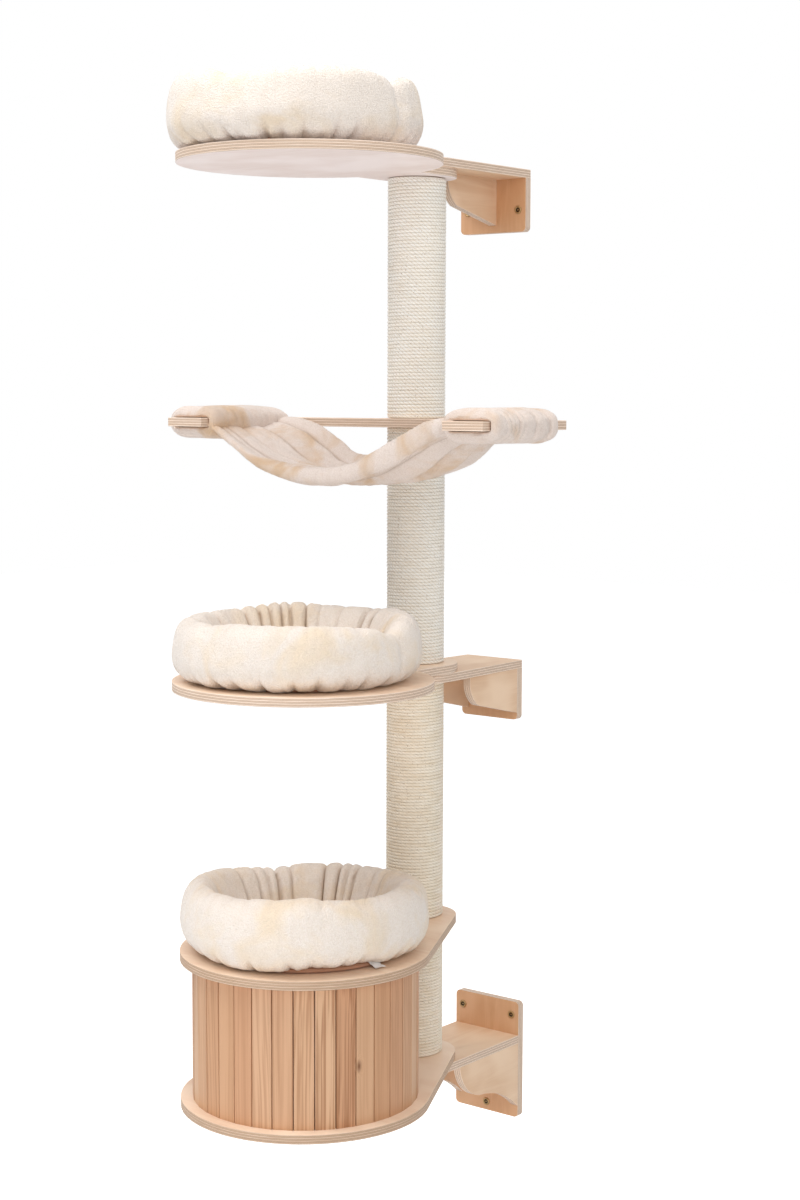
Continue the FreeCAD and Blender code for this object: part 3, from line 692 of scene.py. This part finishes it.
def carve(piece, centre, seed, inner, foot):
    """Press sharp pleats, gathers and fine creases into a puffed rim, along its normals."""
    deep = 0.0060
    depths, lines = [], []
    for vertex in piece.data.vertices:
        offset = vertex.co - centre
        angle = math.atan2(offset.y, offset.x)
        out = Vector((math.cos(angle), math.sin(angle), 0))
        facing = vertex.normal.dot(out)
        inside = max(0.0, -facing)
        top = max(0.0, vertex.normal.z)
        low = 1 - clip((offset.z - 0.004) / 0.040)
        press = deep * crease(angle, inner, 0.019) * min(1.0, inside * 1.4 + 0.45 * top)
        press += deep * crease(angle, foot, 0.026) * low * clip(facing + 0.4)
        # fine creases run across the rim and are strongest on its crown and at its foot
        place = Vector((out.x * 13, out.y * 13, offset.z * 7 + facing * 0.8 + seed))
        line = max(0.0, 1 - abs(noise.noise(place)) / 0.14)
        press += line * (0.0004 + 0.0018 * max(low * 0.8, top * 0.7, inside * 0.7))
        # painted shade in the pleats, gathers and fine creases
        lines.append(max(crease(angle, inner, 0.011) * min(1.0, inside * 1.6),
                         crease(angle, foot, 0.010) * low ** 2 * max(0.0, facing + 0.3) * 0.8,
                         0.25 * line * max(low * 0.8, top * 0.5)))
        swell = 0.0030 * noise.noise(offset * 17 + Vector((seed, 0, 0)))
        depths.append(press - swell)
    press_in(piece, depths)
    mark(piece, lines)


# A bed rim's section, from the foot up the outer side, over the crown and down the inner wall:
# metres from the rim's outermost point and share of the rim's height, at each numbered place.
ACROSS = tuple(enumerate((
    -0.060, -0.042, -0.022, -0.007, 0.0, -0.001, -0.006, -0.017, -0.033, -0.049, -0.062, -0.072,
    -0.081, -0.088, -0.091, -0.086, -0.074)))
UPWARD = tuple(enumerate((
    0.0, 0.012, 0.075, 0.21, 0.40, 0.62, 0.82, 0.95, 1.0, 0.965, 0.86, 0.70, 0.50, 0.32, 0.16,
    0.04, 0.0)))
PLACES = len(ACROSS)     # the last of them is followed by the first
CROWN = 8                # the crown's place
HALF_WAY = 8.5           # places to each of a section's two sides
RIM_ROUND = 340          # points round a rim
RIM_SECTION = 56         # and over its section
SEEN = (1.3, 3.5)        # radians between which the inner wall's pleats are listed one by one


def rim_section():
    """A rim's section: (offset, share of its height, how far inside, on top and outside)."""
    section = []
    for row in range(RIM_SECTION):
        place = row / RIM_SECTION * PLACES
        inside = math.sin(clip((place - 7.5) / HALF_WAY) * math.pi) ** 0.6
        top = max(0.0, 1 - ((place - CROWN) / 2.2) ** 2)
        outside = math.sin(clip(place / HALF_WAY) * math.pi)
        section.append((through(ACROSS, place, PLACES), max(0.0, through(UPWARD, place, PLACES)),
                        inside, top, outside))
    return section


def make_bed(name, body, style, material, lining):
    """A round plush bed: gathered rim, domed seat and a flat base pad."""
    low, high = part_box(name)
    centre = Vector(((low.x + high.x) / 2, (low.y + high.y) / 2, low.z + 0.0002))
    seed = style["seed"]
    inner = [(place, depth * 0.35, wide) for place, depth, wide in scatter(seed, 17, 0.34)
             if not SEEN[0] < place % TAU < SEEN[1]] + hand_set(style["folds"])
    foot = scatter(seed + 1, style["gathers"], 0.42)
    dents = hand_set(style["dents"])
    section = rim_section()
    # metres that a pleat, a gather and a dent go in, and that the crown sinks beside them
    pleat_in, gather_in, dent_in = 0.011, 0.010, 0.011
    pleat_down, dent_down = 0.006, 0.007
    vertices, holds = [], []
    for angle in angles(RIM_ROUND):
        tall, reach, lift = (through(style[line], math.degrees(angle), 360)
                             for line in ("tall", "reach", "lift"))
        fuller = 0.004 * wave(angle, seed + 4, (2, 3, 4))
        dent = crease(angle, dents, 0.09)
        in_pleat = crease(angle, inner, 0.030)
        at_foot = crease(angle, foot, 0.040)
        for offset, share, inside, top, outside in section:
            low_out = outside ** 0.5 * max(0.0, 1 - share / 0.26)
            x = offset - style["inward"] * outside * share - fuller * inside
            x += pleat_in * in_pleat * inside * (1 - 0.5 * top)
            press = gather_in * at_foot * low_out
            x -= press + dent_in * dent * outside ** 0.5
            z = share * tall + press * 0.5 + lift * max(0.0, 1 - share / 0.4) * outside ** 0.3
            z -= (dent_down * dent + pleat_down * in_pleat) * top
            vertices.append(around_axis(centre, reach - 0.004 + x, angle, max(z, 0.0)))
            grip = max(0.8 * in_pleat * inside, 0.8 * at_foot * low_out, 0.8 * dent * outside)
            holds.append(max(1.0 if share < 0.02 else 0.0, grip ** 2 * 0.9, 0.02))
    rim = smooth_piece(name + "_rim", vertices, wrapped_faces(RIM_ROUND, RIM_SECTION), material)
    puff(rim, holds, 1.2, 0.02, 0.005, frames=14)
    carve(rim, centre, seed, inner, foot)
    relax(rim, 0.22)
    for vertex in rim.data.vertices:
        vertex.co.z = max(vertex.co.z, centre.z)
    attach(rim, body)
    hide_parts(name)
    make_seat(name, body, centre, seed + 9, material)
    make_base(name, body, centre, seed + 5, style["base"], lining)


def make_seat(name, body, centre, seed, material):
    """The domed seat, its edge tucked under the rim."""
    rings, around = 24, 132
    edge = 0.158
    vertices = []
    for ring in range(rings + 1):
        share = (ring + 0.4) / (rings + 0.4)
        for angle in angles(around):
            radius = edge * share
            height = 0.020 + 0.034 * (1 - share ** 3.2)
            height += 0.0035 * wave(angle, seed, (2, 3, 5)) * share * (1 - share) * 4
            place = Vector((radius * math.cos(angle), radius * math.sin(angle), seed * 0.1))
            height += 0.0030 * noise.noise(place * 22)
            # shallow pulls run in from the seam
            height -= 0.0030 * share ** 4 * max(0.0, wave(angle, seed + 1, (11, 17, 23), 0.3))
            vertices.append(around_axis(centre, radius, angle, height))
    # down the side and back under to a flat bottom
    for share, height in ((1.015, 0.014), (1.0, 0.009), (0.5, 0.008)):
        vertices += [around_axis(centre, edge * share, angle, height)
                     for angle in angles(around)]
    seat = smooth_piece(name + "_seat", vertices, capped_faces(len(vertices) // around, around),
                        material)
    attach(seat, body)


def make_base(name, body, centre, seed, edge, lining):
    """The thin base pad that the rim is gathered on to."""
    around = 160
    profile = ((edge * 0.5, 0.0004), (edge - 0.006, 0.0004), (edge - 0.001, 0.0022),
               (edge, 0.0050), (edge - 0.001, 0.0078), (edge - 0.008, 0.0102),
               (edge * 0.5, 0.0088))
    vertices = []
    for radius, height in profile:
        for angle in angles(around):
            wander = 1 + 0.008 * wave(angle, seed, (3, 5, 7, 11), 0.5)
            vertices.append(around_axis(centre, radius * wander, angle, height))
    base = smooth_piece(name + "_base", vertices, capped_faces(len(profile), around), lining)
    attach(base, body)


# Each outline value is given round the bed as (angle in degrees, metres), and each fold and dent
# as (angle in degrees, depth, width). The angles run from +X towards the wall, so a bed's near
# side is at -52 and its far side at 128.
LEVEL = ((-180, 0.0), (-60, 0.0), (60, 0.0))
BEDS = {
    "bed_top": ("upper_bed", dict(
        seed=21, gathers=26, inward=0.010, base=0.186, lift=LEVEL,
        tall=((-150, 0.134), (-122, 0.141), (-100, 0.137), (-80, 0.121), (-62, 0.127),
              (-30, 0.131), (-5, 0.128), (9, 0.121), (30, 0.134), (70, 0.128), (140, 0.128)),
        reach=((-150, 0.250), (-110, 0.249), (-60, 0.243), (0, 0.240), (35, 0.244), (110, 0.240)),
        folds=((170, 0.8, 1.0), (150, 0.9, 0.9), (128, 0.7, 1.0), (105, 0.9, 0.8), (84, 0.7, 1.0)),
        dents=((8.6, 1.0, 0.7), (-80, 0.5, 1.5)))),
    "bed_middle": ("middle_bed", dict(
        seed=34, gathers=28, inward=0.004, base=0.184, lift=LEVEL,
        tall=((-150, 0.124), (-120, 0.122), (-90, 0.126), (-60, 0.127), (-30, 0.124), (-8, 0.117),
              (9, 0.102), (22, 0.122), (36, 0.131), (80, 0.130), (115, 0.130), (140, 0.135),
              (165, 0.127)),
        reach=((-150, 0.248), (-115, 0.248), (-60, 0.242), (0, 0.238), (40, 0.241), (120, 0.240)),
        folds=((188, 0.7, 0.9), (166, 0.8, 1.0), (157, 1.0, 0.8), (150, 1.0, 0.7), (143, 0.8, 0.6),
               (137, 1.0, 0.7), (127, 0.9, 0.8), (118, 0.3, 0.8), (104, 0.35, 1.0), (85, 0.9, 0.9),
               (77, 0.8, 0.9)),
        dents=((10, 0.7, 0.8), (-99, 0.15, 1.0)))),
    "bed_cave": ("cave_bed", dict(
        seed=55, gathers=24, inward=0.000, base=0.193,
        lift=((-78, 0.0), (-62, 0.004), (-48, 0.013), (-30, 0.010), (-15, 0.014), (-2, 0.004),
              (12, 0.0), (100, 0.0), (200, 0.0)),
        tall=((-150, 0.138), (-90, 0.138), (-62, 0.144), (-46, 0.149), (-30, 0.141), (-5, 0.136),
              (20, 0.136), (40, 0.139), (75, 0.132), (110, 0.128), (145, 0.120), (170, 0.127)),
        reach=((-152, 0.243), (-112, 0.238), (-72, 0.245), (-30, 0.240), (8, 0.241), (36, 0.249),
               (75, 0.238), (120, 0.241), (168, 0.239)),
        folds=((176, 0.6, 0.9), (163, 0.6, 0.8), (155, 0.5, 0.7), (148, 1.0, 0.8), (139, 0.6, 0.9),
               (117.5, 1.0, 0.8), (108, 1.0, 0.7), (102, 0.7, 0.6), (96, 0.8, 0.9), (80, 0.4, 1.0)),
        dents=((-152, 0.25, 1.0), (34, 0.3, 1.2)))),
}


def make_beds():
    plush = fleece("bed_plush", colour(240, 230, 221), colour(214, 197, 178),
                   colour(238, 220, 197))
    lining = woven("base_cloth", colour(206, 160, 132), colour(170, 122, 96))
    for name, (body, style) in BEDS.items():
        make_bed(name, body, style, plush, lining)


def make_tag():
    """The blank care tag: sewn to the bed's lifted foot, its free end down on the cave's roof."""
    low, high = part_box("bed_tag")
    length, width = 0.030, 0.022
    half_thick = 0.00025
    turn = math.radians(-12)
    start = Vector((low.x + 0.003, (low.y + high.y) / 2 + 0.003, low.z + 0.0008))
    along = Vector((math.cos(turn), math.sin(turn), 0))
    across = Vector((-along.y, along.x, 0))
    columns, rows = 20, 8
    vertices = []
    for side in (1, -1):
        for column in range(columns + 1):
            share = column / columns
            for row in range(rows + 1):
                over = row / rows - 0.5
                lift = 0.0100 * (1 - share) ** 1.5 + 0.0030 * share ** 3
                lift += 0.0016 * math.sin(share * 5 + over * 2) ** 2
                place = start + along * (length * share * 0.93) + across * (width * over)
                vertices.append((place.x, place.y, place.z + lift + half_thick * side))
    wide = rows + 1
    area = (columns + 1) * wide
    faces = []
    for column in range(columns):
        for row in range(rows):
            a = column * wide + row
            faces.append((a, a + 1, a + wide + 1, a + wide))
            faces.append((area + a, area + a + wide, area + a + wide + 1, area + a + 1))
    edge = [column * wide for column in range(columns + 1)]
    edge += [columns * wide + row for row in range(1, wide)]
    edge += [column * wide + rows for column in range(columns - 1, -1, -1)]
    edge += list(range(rows - 1, 0, -1))
    faces += [(a, area + a, area + b, b) for a, b in zip(edge, edge[1:] + edge[:1])]
    cloth = woven("tag_cloth", colour(252, 252, 252), colour(236, 236, 238), 1500.0)
    tag = smooth_piece("care_tag", vertices, faces, cloth)
    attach(tag, "cave_bed")
    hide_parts("bed_tag")


# ---- Hammock

ARM_REACH = 0.355        # of each arm's middle from the post's axis
HAMMOCK_MIDDLE = 1.400


def swollen(value, power):
    """A sine or cosine with its size raised to a power, which squares a circle off."""
    return math.copysign(abs(value) ** power, value)


def sleeve_rings(chance, end):
    """Ring wrinkles along a sleeve: (place, depth, width, slant)."""
    folds = []
    place = 0.012
    while place < end:
        folds.append((place, chance.uniform(0.35, 1.0), chance.uniform(0.7, 1.3),
                      chance.uniform(-0.3, 0.3)))
        place += chance.uniform(0.011, 0.026)
    return folds


def make_sleeve(side, material):
    """A plush sleeve gathered on a hammock arm, drawn in snugly at both ends."""
    front, back = 0.298, 0.087       # distances in front of the post's axis
    half_wide, half_tall = 0.064, 0.031
    bore_wide, bore_tall = 0.0495, 0.0105
    around, lengthwise = 84, 72
    rim = 0.019                      # length over which an end rounds off
    ring_wide, ring_deep = 0.0036, 0.0034
    bulge, unevenness = 0.030, 0.0026
    seed = 71 if side > 0 else 83
    folds = sleeve_rings(random.Random(seed), 0.195)
    # (share of the length, 1 on the outside or 0 in the bore), closer together at the ends
    profile = []
    for row in range(lengthwise + 1):
        swing = math.cos(math.pi * row / lengthwise)
        profile.append((0.5 - 0.5 * swing * (0.6 + 0.4 * abs(swing)), 1))
    profile += [(0.985, 0), (0.5, 0), (0.015, 0)]
    vertices, holds, rings = [], [], []
    for share, outer in profile:
        out = back + (front - back) * share
        ends = min(share, 1 - share) * (front - back)
        rounding = math.sqrt(max(0.0, 1 - (1 - min(ends / rim, 1.0)) ** 2))
        for angle in angles(around):
            c, s = math.cos(angle), math.sin(angle)
            outer_x, outer_z = half_wide * swollen(c, 0.62), half_tall * swollen(s, 0.72)
            inner_x, inner_z = bore_wide * swollen(c, 0.25), bore_tall * swollen(s, 0.25)
            pinch = 0.0
            for at, depth, wide, slant in folds:
                gap = out - back - at - slant * 0.03 * math.sin(angle + seed)
                pinch = max(pinch, depth * math.exp(-abs(gap / (ring_wide * wide)) ** 1.3))
            # the wrinkles are deepest on the side away from the post
            pinch *= 0.30 + 0.70 * max(0.0, c * side) ** 0.5
            full = (0.16 + 0.84 * rounding - 0.24 * pinch * rounding) if outer else 0.0
            x = inner_x + (outer_x - inner_x) * full
            z = inner_z + (outer_z - inner_z) * full
            if side < 0 and c > 0:
                # the left sleeve's inner side bulges towards the crossbar at the rear
                x += bulge * c * max(full, 0.4 * outer) * (1 - share) ** 1.5
            wander = unevenness * noise.noise(Vector((c * 2.1, s * 2.1, out * 16 + seed)))
            rings.append(pinch * rounding * outer)
            vertices.append((side * ARM_REACH + x, POST_Y - out,
                             HAMMOCK_MIDDLE + z + wander * full))
            loose = 0.03 if rounding > 0.5 else 0.6
            holds.append(max((0.8 * pinch) ** 2, loose) if outer else 1.0)
    sleeve = smooth_piece("sleeve_right" if side > 0 else "sleeve_left", vertices,
                          wrapped_faces(len(profile), around), material)
    puff(sleeve, holds, 1.4, 0.03, 0.003)
    press_in(sleeve, [ring_deep * ring for ring in rings])
    # painted shade in the ring wrinkles
    mark(sleeve, [0.55 * ring ** 3 for ring in rings])
    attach(sleeve, "sling")


# The sling's middle surface over the frame's zero, as (x, z) points from arm to arm, at four
# places between its rear edge (share 0) and its front edge (share 1).
SLING = (
    (0.0, ((-0.31, 1.408), (-0.25, 1.407), (-0.195, 1.397), (-0.154, 1.382), (-0.113, 1.359),
           (-0.08, 1.337), (-0.033, 1.330), (0.05, 1.326), (0.12, 1.324), (0.155, 1.327),
           (0.20, 1.341), (0.25, 1.362), (0.31, 1.394))),
    (0.27, ((-0.31, 1.393), (-0.25, 1.380), (-0.195, 1.362), (-0.154, 1.343), (-0.113, 1.323),
            (-0.08, 1.309), (-0.033, 1.301), (0.03, 1.298), (0.088, 1.301), (0.142, 1.306),
            (0.191, 1.320), (0.243, 1.340), (0.31, 1.386))),
    (0.60, ((-0.31, 1.393), (-0.25, 1.368), (-0.20, 1.345), (-0.154, 1.325), (-0.11, 1.309),
            (-0.06, 1.300), (0.0, 1.297), (0.088, 1.302), (0.13, 1.307), (0.20, 1.330),
            (0.24, 1.351), (0.31, 1.390))),
    (0.94, ((-0.31, 1.396), (-0.25, 1.362), (-0.207, 1.339), (-0.159, 1.319), (-0.112, 1.307),
            (-0.07, 1.299), (-0.014, 1.299), (0.056, 1.307), (0.105, 1.320), (0.157, 1.340),
            (0.197, 1.360), (0.251, 1.388), (0.31, 1.404))))
# Half the height of the puffy roll along the front edge, by distance from the middle.
ROLL = ((-0.31, 0.009), (-0.227, 0.010), (-0.15, 0.014), (-0.05, 0.018), (0.05, 0.018),
        (0.105, 0.020), (0.16, 0.025), (0.20, 0.024), (0.25, 0.022), (0.31, 0.018))
SLING_FOLDS = (0.0, 0.18, 0.40, 0.61, 0.80, 0.88, 1.0)      # fold lines, as shares
ROLL_BAND = 5            # the band between the last two lines, which is the roll
THINNEST = 0.003         # half the cloth's thickness beside a roll's inner line


def sling_height(x, share):
    """Height of the sling's middle surface; share runs from 0 at the rear edge to 1 in front."""
    rows = [(place, through(points, x)) for place, points in SLING]
    return through(rows + [(1.06, rows[-1][1])], share)


def half_thickness(band, across, roll):
    """Half the sling's thickness in a band, from its rear line (across 0) to its front one."""
    arch = math.sqrt(max(0.0, 1 - (2 * across - 1) ** 2))
    if band == ROLL_BAND:
        return max(roll * arch ** 0.9, THINNEST if across < 0.5 else 0.0)
    if band == 0:
        return max(0.0105 * arch, THINNEST if across > 0.5 else 0.0)
    # the other bands rise steeply from their rear line and fall gently to their front one
    swell = min(1.0, (across / 0.14) ** 0.5) * (1 - across) ** 0.6
    return 0.0024 + (0.0120 if band < 4 else 0.006) * swell


def make_sling(material):
    """The cloth between the sleeves: padded folds from arm to arm, a roll along its front edge."""
    front, back = 0.299, 0.093       # distances in front of the post's axis
    half_wide = 0.318
    hem_bow = 0.008                  # each hem's middle lies so far in from its ends
    upper_lap, lower_lap = 0.0035, 0.0060
    columns, steps = 150, 84
    # once round the cloth: (share from the rear, 1 on its upper face or -1 on its lower one)
    loop = [(step / steps, 1) for step in range(steps + 1)]
    loop += [(1 - step / steps, -1) for step in range(1, steps)]
    vertices, holds, lines = [], [], []
    for column in range(columns + 1):
        share_x = column / columns
        x = -half_wide + 2 * half_wide * share_x
        ends = abs(share_x - 0.5) * 2
        roll = through(ROLL, x)
        for place, face in loop:
            # the lines lie evenly at the arms and wander over the belly
            drift = 0.07 * math.sin(2.3 * math.pi * share_x + 5 * place) * place * (1 - place) * 4
            here = clip(place + drift * (1 - ends ** 3))
            band = 0
            while here > SLING_FOLDS[band + 1]:
                band += 1
            start, end = SLING_FOLDS[band], SLING_FOLDS[band + 1]
            across = (here - start) / (end - start)
            half = half_thickness(band, across, roll) * (1 - 0.5 * ends ** 8)
            near = min(abs(here - fold) for fold in SLING_FOLDS[1:-1]) * (front - back)
            # painted shade along the fold lines, stronger on the lower face, which less light
            # reaches
            lines.append(math.exp(-(near / 0.0030) ** 2) * (1 - 0.4 * (face > 0)))
            out = back + (front - back) * place + hem_bow * (1 - ends ** 2) * (0.5 - place) * 2
            wrinkle = 0.0050 * noise.noise(Vector((x * 8, place * 5.5, 1.7)))
            wrinkle += 0.0022 * noise.noise(Vector((x * 24, place * 16, 5.1)))
            height = sling_height(x, place) + face * half + wrinkle
            if 0 < band < ROLL_BAND:
                # each band hangs lower towards its rear line, more so on its lower face
                height -= (lower_lap if face < 0 else upper_lap) * (1 - across) ** 1.5
            vertices.append((x, POST_Y - out, height))
            line = 1.0 - min(1.0, half / 0.006) if band < ROLL_BAND else 0.0
            holds.append(max(1.0 if ends > 0.93 else 0.0, 0.9 * line, 0.35))
    sling = smooth_piece("sling_cloth", vertices, capped_faces(columns + 1, len(loop)), material)
    puff(sling, holds, 0.5, 0.01, 0.002)
    relax(sling, 0.2)
    mark(sling, lines)
    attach(sling, "sling")
    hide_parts("hammock_cloth")


def make_hammock():
    plush = fleece("hammock_plush", colour(236, 222, 213), colour(200, 177, 160),
                   colour(218, 186, 152), 380.0)
    for side in (-1, 1):
        make_sleeve(side, plush)
    make_sling(plush)


# ---- Screws

# (radius, distance from the plate towards the room)
WASHER = ((0.0034, 0.0001), (0.0086, 0.0001), (0.0088, 0.0007), (0.0082, 0.0020),
          (0.0068, 0.0027), (0.0056, 0.0024), (0.0036, 0.0010))
SCREW = ((0.0010, -0.0120), (0.0022, -0.0120), (0.0024, -0.0004), (0.0050, 0.0016),
         (0.0048, 0.0020), (0.0024, 0.0021), (0.0016, 0.0006), (0.0004, 0.0004))
HOLES = ((-0.066, 0.100), (0.066, 0.100), (0.0, -0.111), (-0.040, 0.802), (0.040, 0.802),
         (-0.066, 1.848), (0.066, 1.848))      # (x, z) on the wall plates


def turned(name, place, profile, material):
    """A round steel piece about Y, with a flat end at the first and the last radius."""
    around = 36
    vertices = []
    for radius, out in profile:
        for angle in angles(around):
            vertices.append((place.x + radius * math.cos(angle), place.y - out,
                             place.z + radius * math.sin(angle)))
    smooth_piece(name, vertices, capped_faces(len(profile), around), material, "frame")


def make_screws():
    """Cup washers with countersunk screws in the wall plates."""
    brass = metal("cup_washer_brass", colour(196, 164, 120), colour(150, 118, 78), 0.4)
    steel = metal("screw_steel", colour(58, 50, 42), colour(34, 28, 22), 0.45)
    for number, (x, z) in enumerate(HOLES, start=1):
        place = Vector((x, -BOARD, z))
        turned("cup_washer_%d" % number, place, WASHER, brass)
        turned("wall_screw_%d" % number, place, SCREW, steel)


# ---- Studio

TARGET = (0, -0.4, 1.1)
# name: (place, what it points at, size, power, tint)
LAMPS = {
    "key": ((-1.5, -2.5, 4.4), TARGET, 2.2, 66, (1.0, 0.995, 0.99)),
    "fill": ((3.2, -2.7, 2.6), TARGET, 2.6, 40, (1.0, 0.99, 0.975)),
    "overhead": ((0.5, -1.3, 5.2), (0, -0.7, 0.5), 2.4, 74, (1.0, 0.985, 0.96)),
    "low": ((0.2, -2.6, -0.1), (0, -0.7, 1.9), 1.6, 14, (0.97, 0.98, 1.0)),
}
FLOOR_LEVEL = -0.42
FLOOR_HALF = 14.0
AMBIENT = 0.57


def make_lamps():
    for name, (place, target, size, power, tint) in LAMPS.items():
        data = bpy.data.lights.new(name, "AREA")
        data.shape = "DISK"
        data.size = size
        data.energy = power
        data.color = tint
        lamp = bpy.data.objects.new(name, data)
        lamp.location = place
        aim = Vector(target) - Vector(place)
        lamp.rotation_euler = aim.to_track_quat("-Z", "Y").to_euler()
        bpy.context.scene.collection.objects.link(lamp)


def make_world():
    """Soft light from all round, and white where the background is seen or mirrored."""
    world = bpy.data.worlds.new("studio")
    bpy.context.scene.world = world
    world.use_nodes = True
    world.node_tree.nodes.clear()
    nodes = Nodes(world.node_tree)
    rays = nodes.node("ShaderNodeLightPath").outputs
    seen = nodes.math("MAXIMUM", rays["Is Camera Ray"], rays["Is Glossy Ray"])
    seen = nodes.math("MAXIMUM", seen, rays["Is Transmission Ray"])
    ambient = nodes.node("ShaderNodeBackground",
                         {"Color": (0.98, 0.99, 1.0, 1.0), "Strength": AMBIENT})
    white = nodes.node("ShaderNodeBackground",
                       {"Color": (1.0, 1.0, 1.0, 1.0), "Strength": 1.0})
    mix = nodes.node("ShaderNodeMixShader", {0: seen, 1: ambient.outputs[0], 2: white.outputs[0]})
    nodes.node("ShaderNodeOutputWorld", {"Surface": mix.outputs[0]})


def make_floor():
    """White paper below the part, lit a little where the camera sees it."""
    mesh = bpy.data.meshes.new("floor")
    corners = [(x * FLOOR_HALF, y * FLOOR_HALF, FLOOR_LEVEL)
               for x, y in ((-1, -1), (1, -1), (1, 1), (-1, 1))]
    mesh.from_pydata(corners, [], [(0, 1, 2, 3)])
    floor = bpy.data.objects.new("floor", mesh)
    bpy.context.scene.collection.objects.link(floor)
    paint = Paint("floor_paper", 0.9)
    paint.finish(paint.mix(paint.noise(paint.place, 3.0), (0.90, 0.90, 0.90, 1),
                           (0.92, 0.92, 0.92, 1)))
    plain = paint.shader.outputs[0]
    glow = paint.node("ShaderNodeEmission", {"Strength": 0.56}).outputs[0]
    lit = paint.node("ShaderNodeAddShader", {0: plain, 1: glow}).outputs[0]
    seen = paint.node("ShaderNodeLightPath").outputs["Is Camera Ray"]
    pick = paint.node("ShaderNodeMixShader", {0: seen, 1: plain, 2: lit}).outputs[0]
    paint.feed(paint.tree.nodes["Material Output"].inputs["Surface"], pick)
    mesh.materials.append(paint.material)


# ---- Build

make_camera()
dress_frame()
make_windings()
make_slats()
make_beds()
make_tag()
make_hammock()
make_screws()
bpy.context.scene.view_settings.view_transform = "Standard"
make_world()
make_floor()
make_lamps()
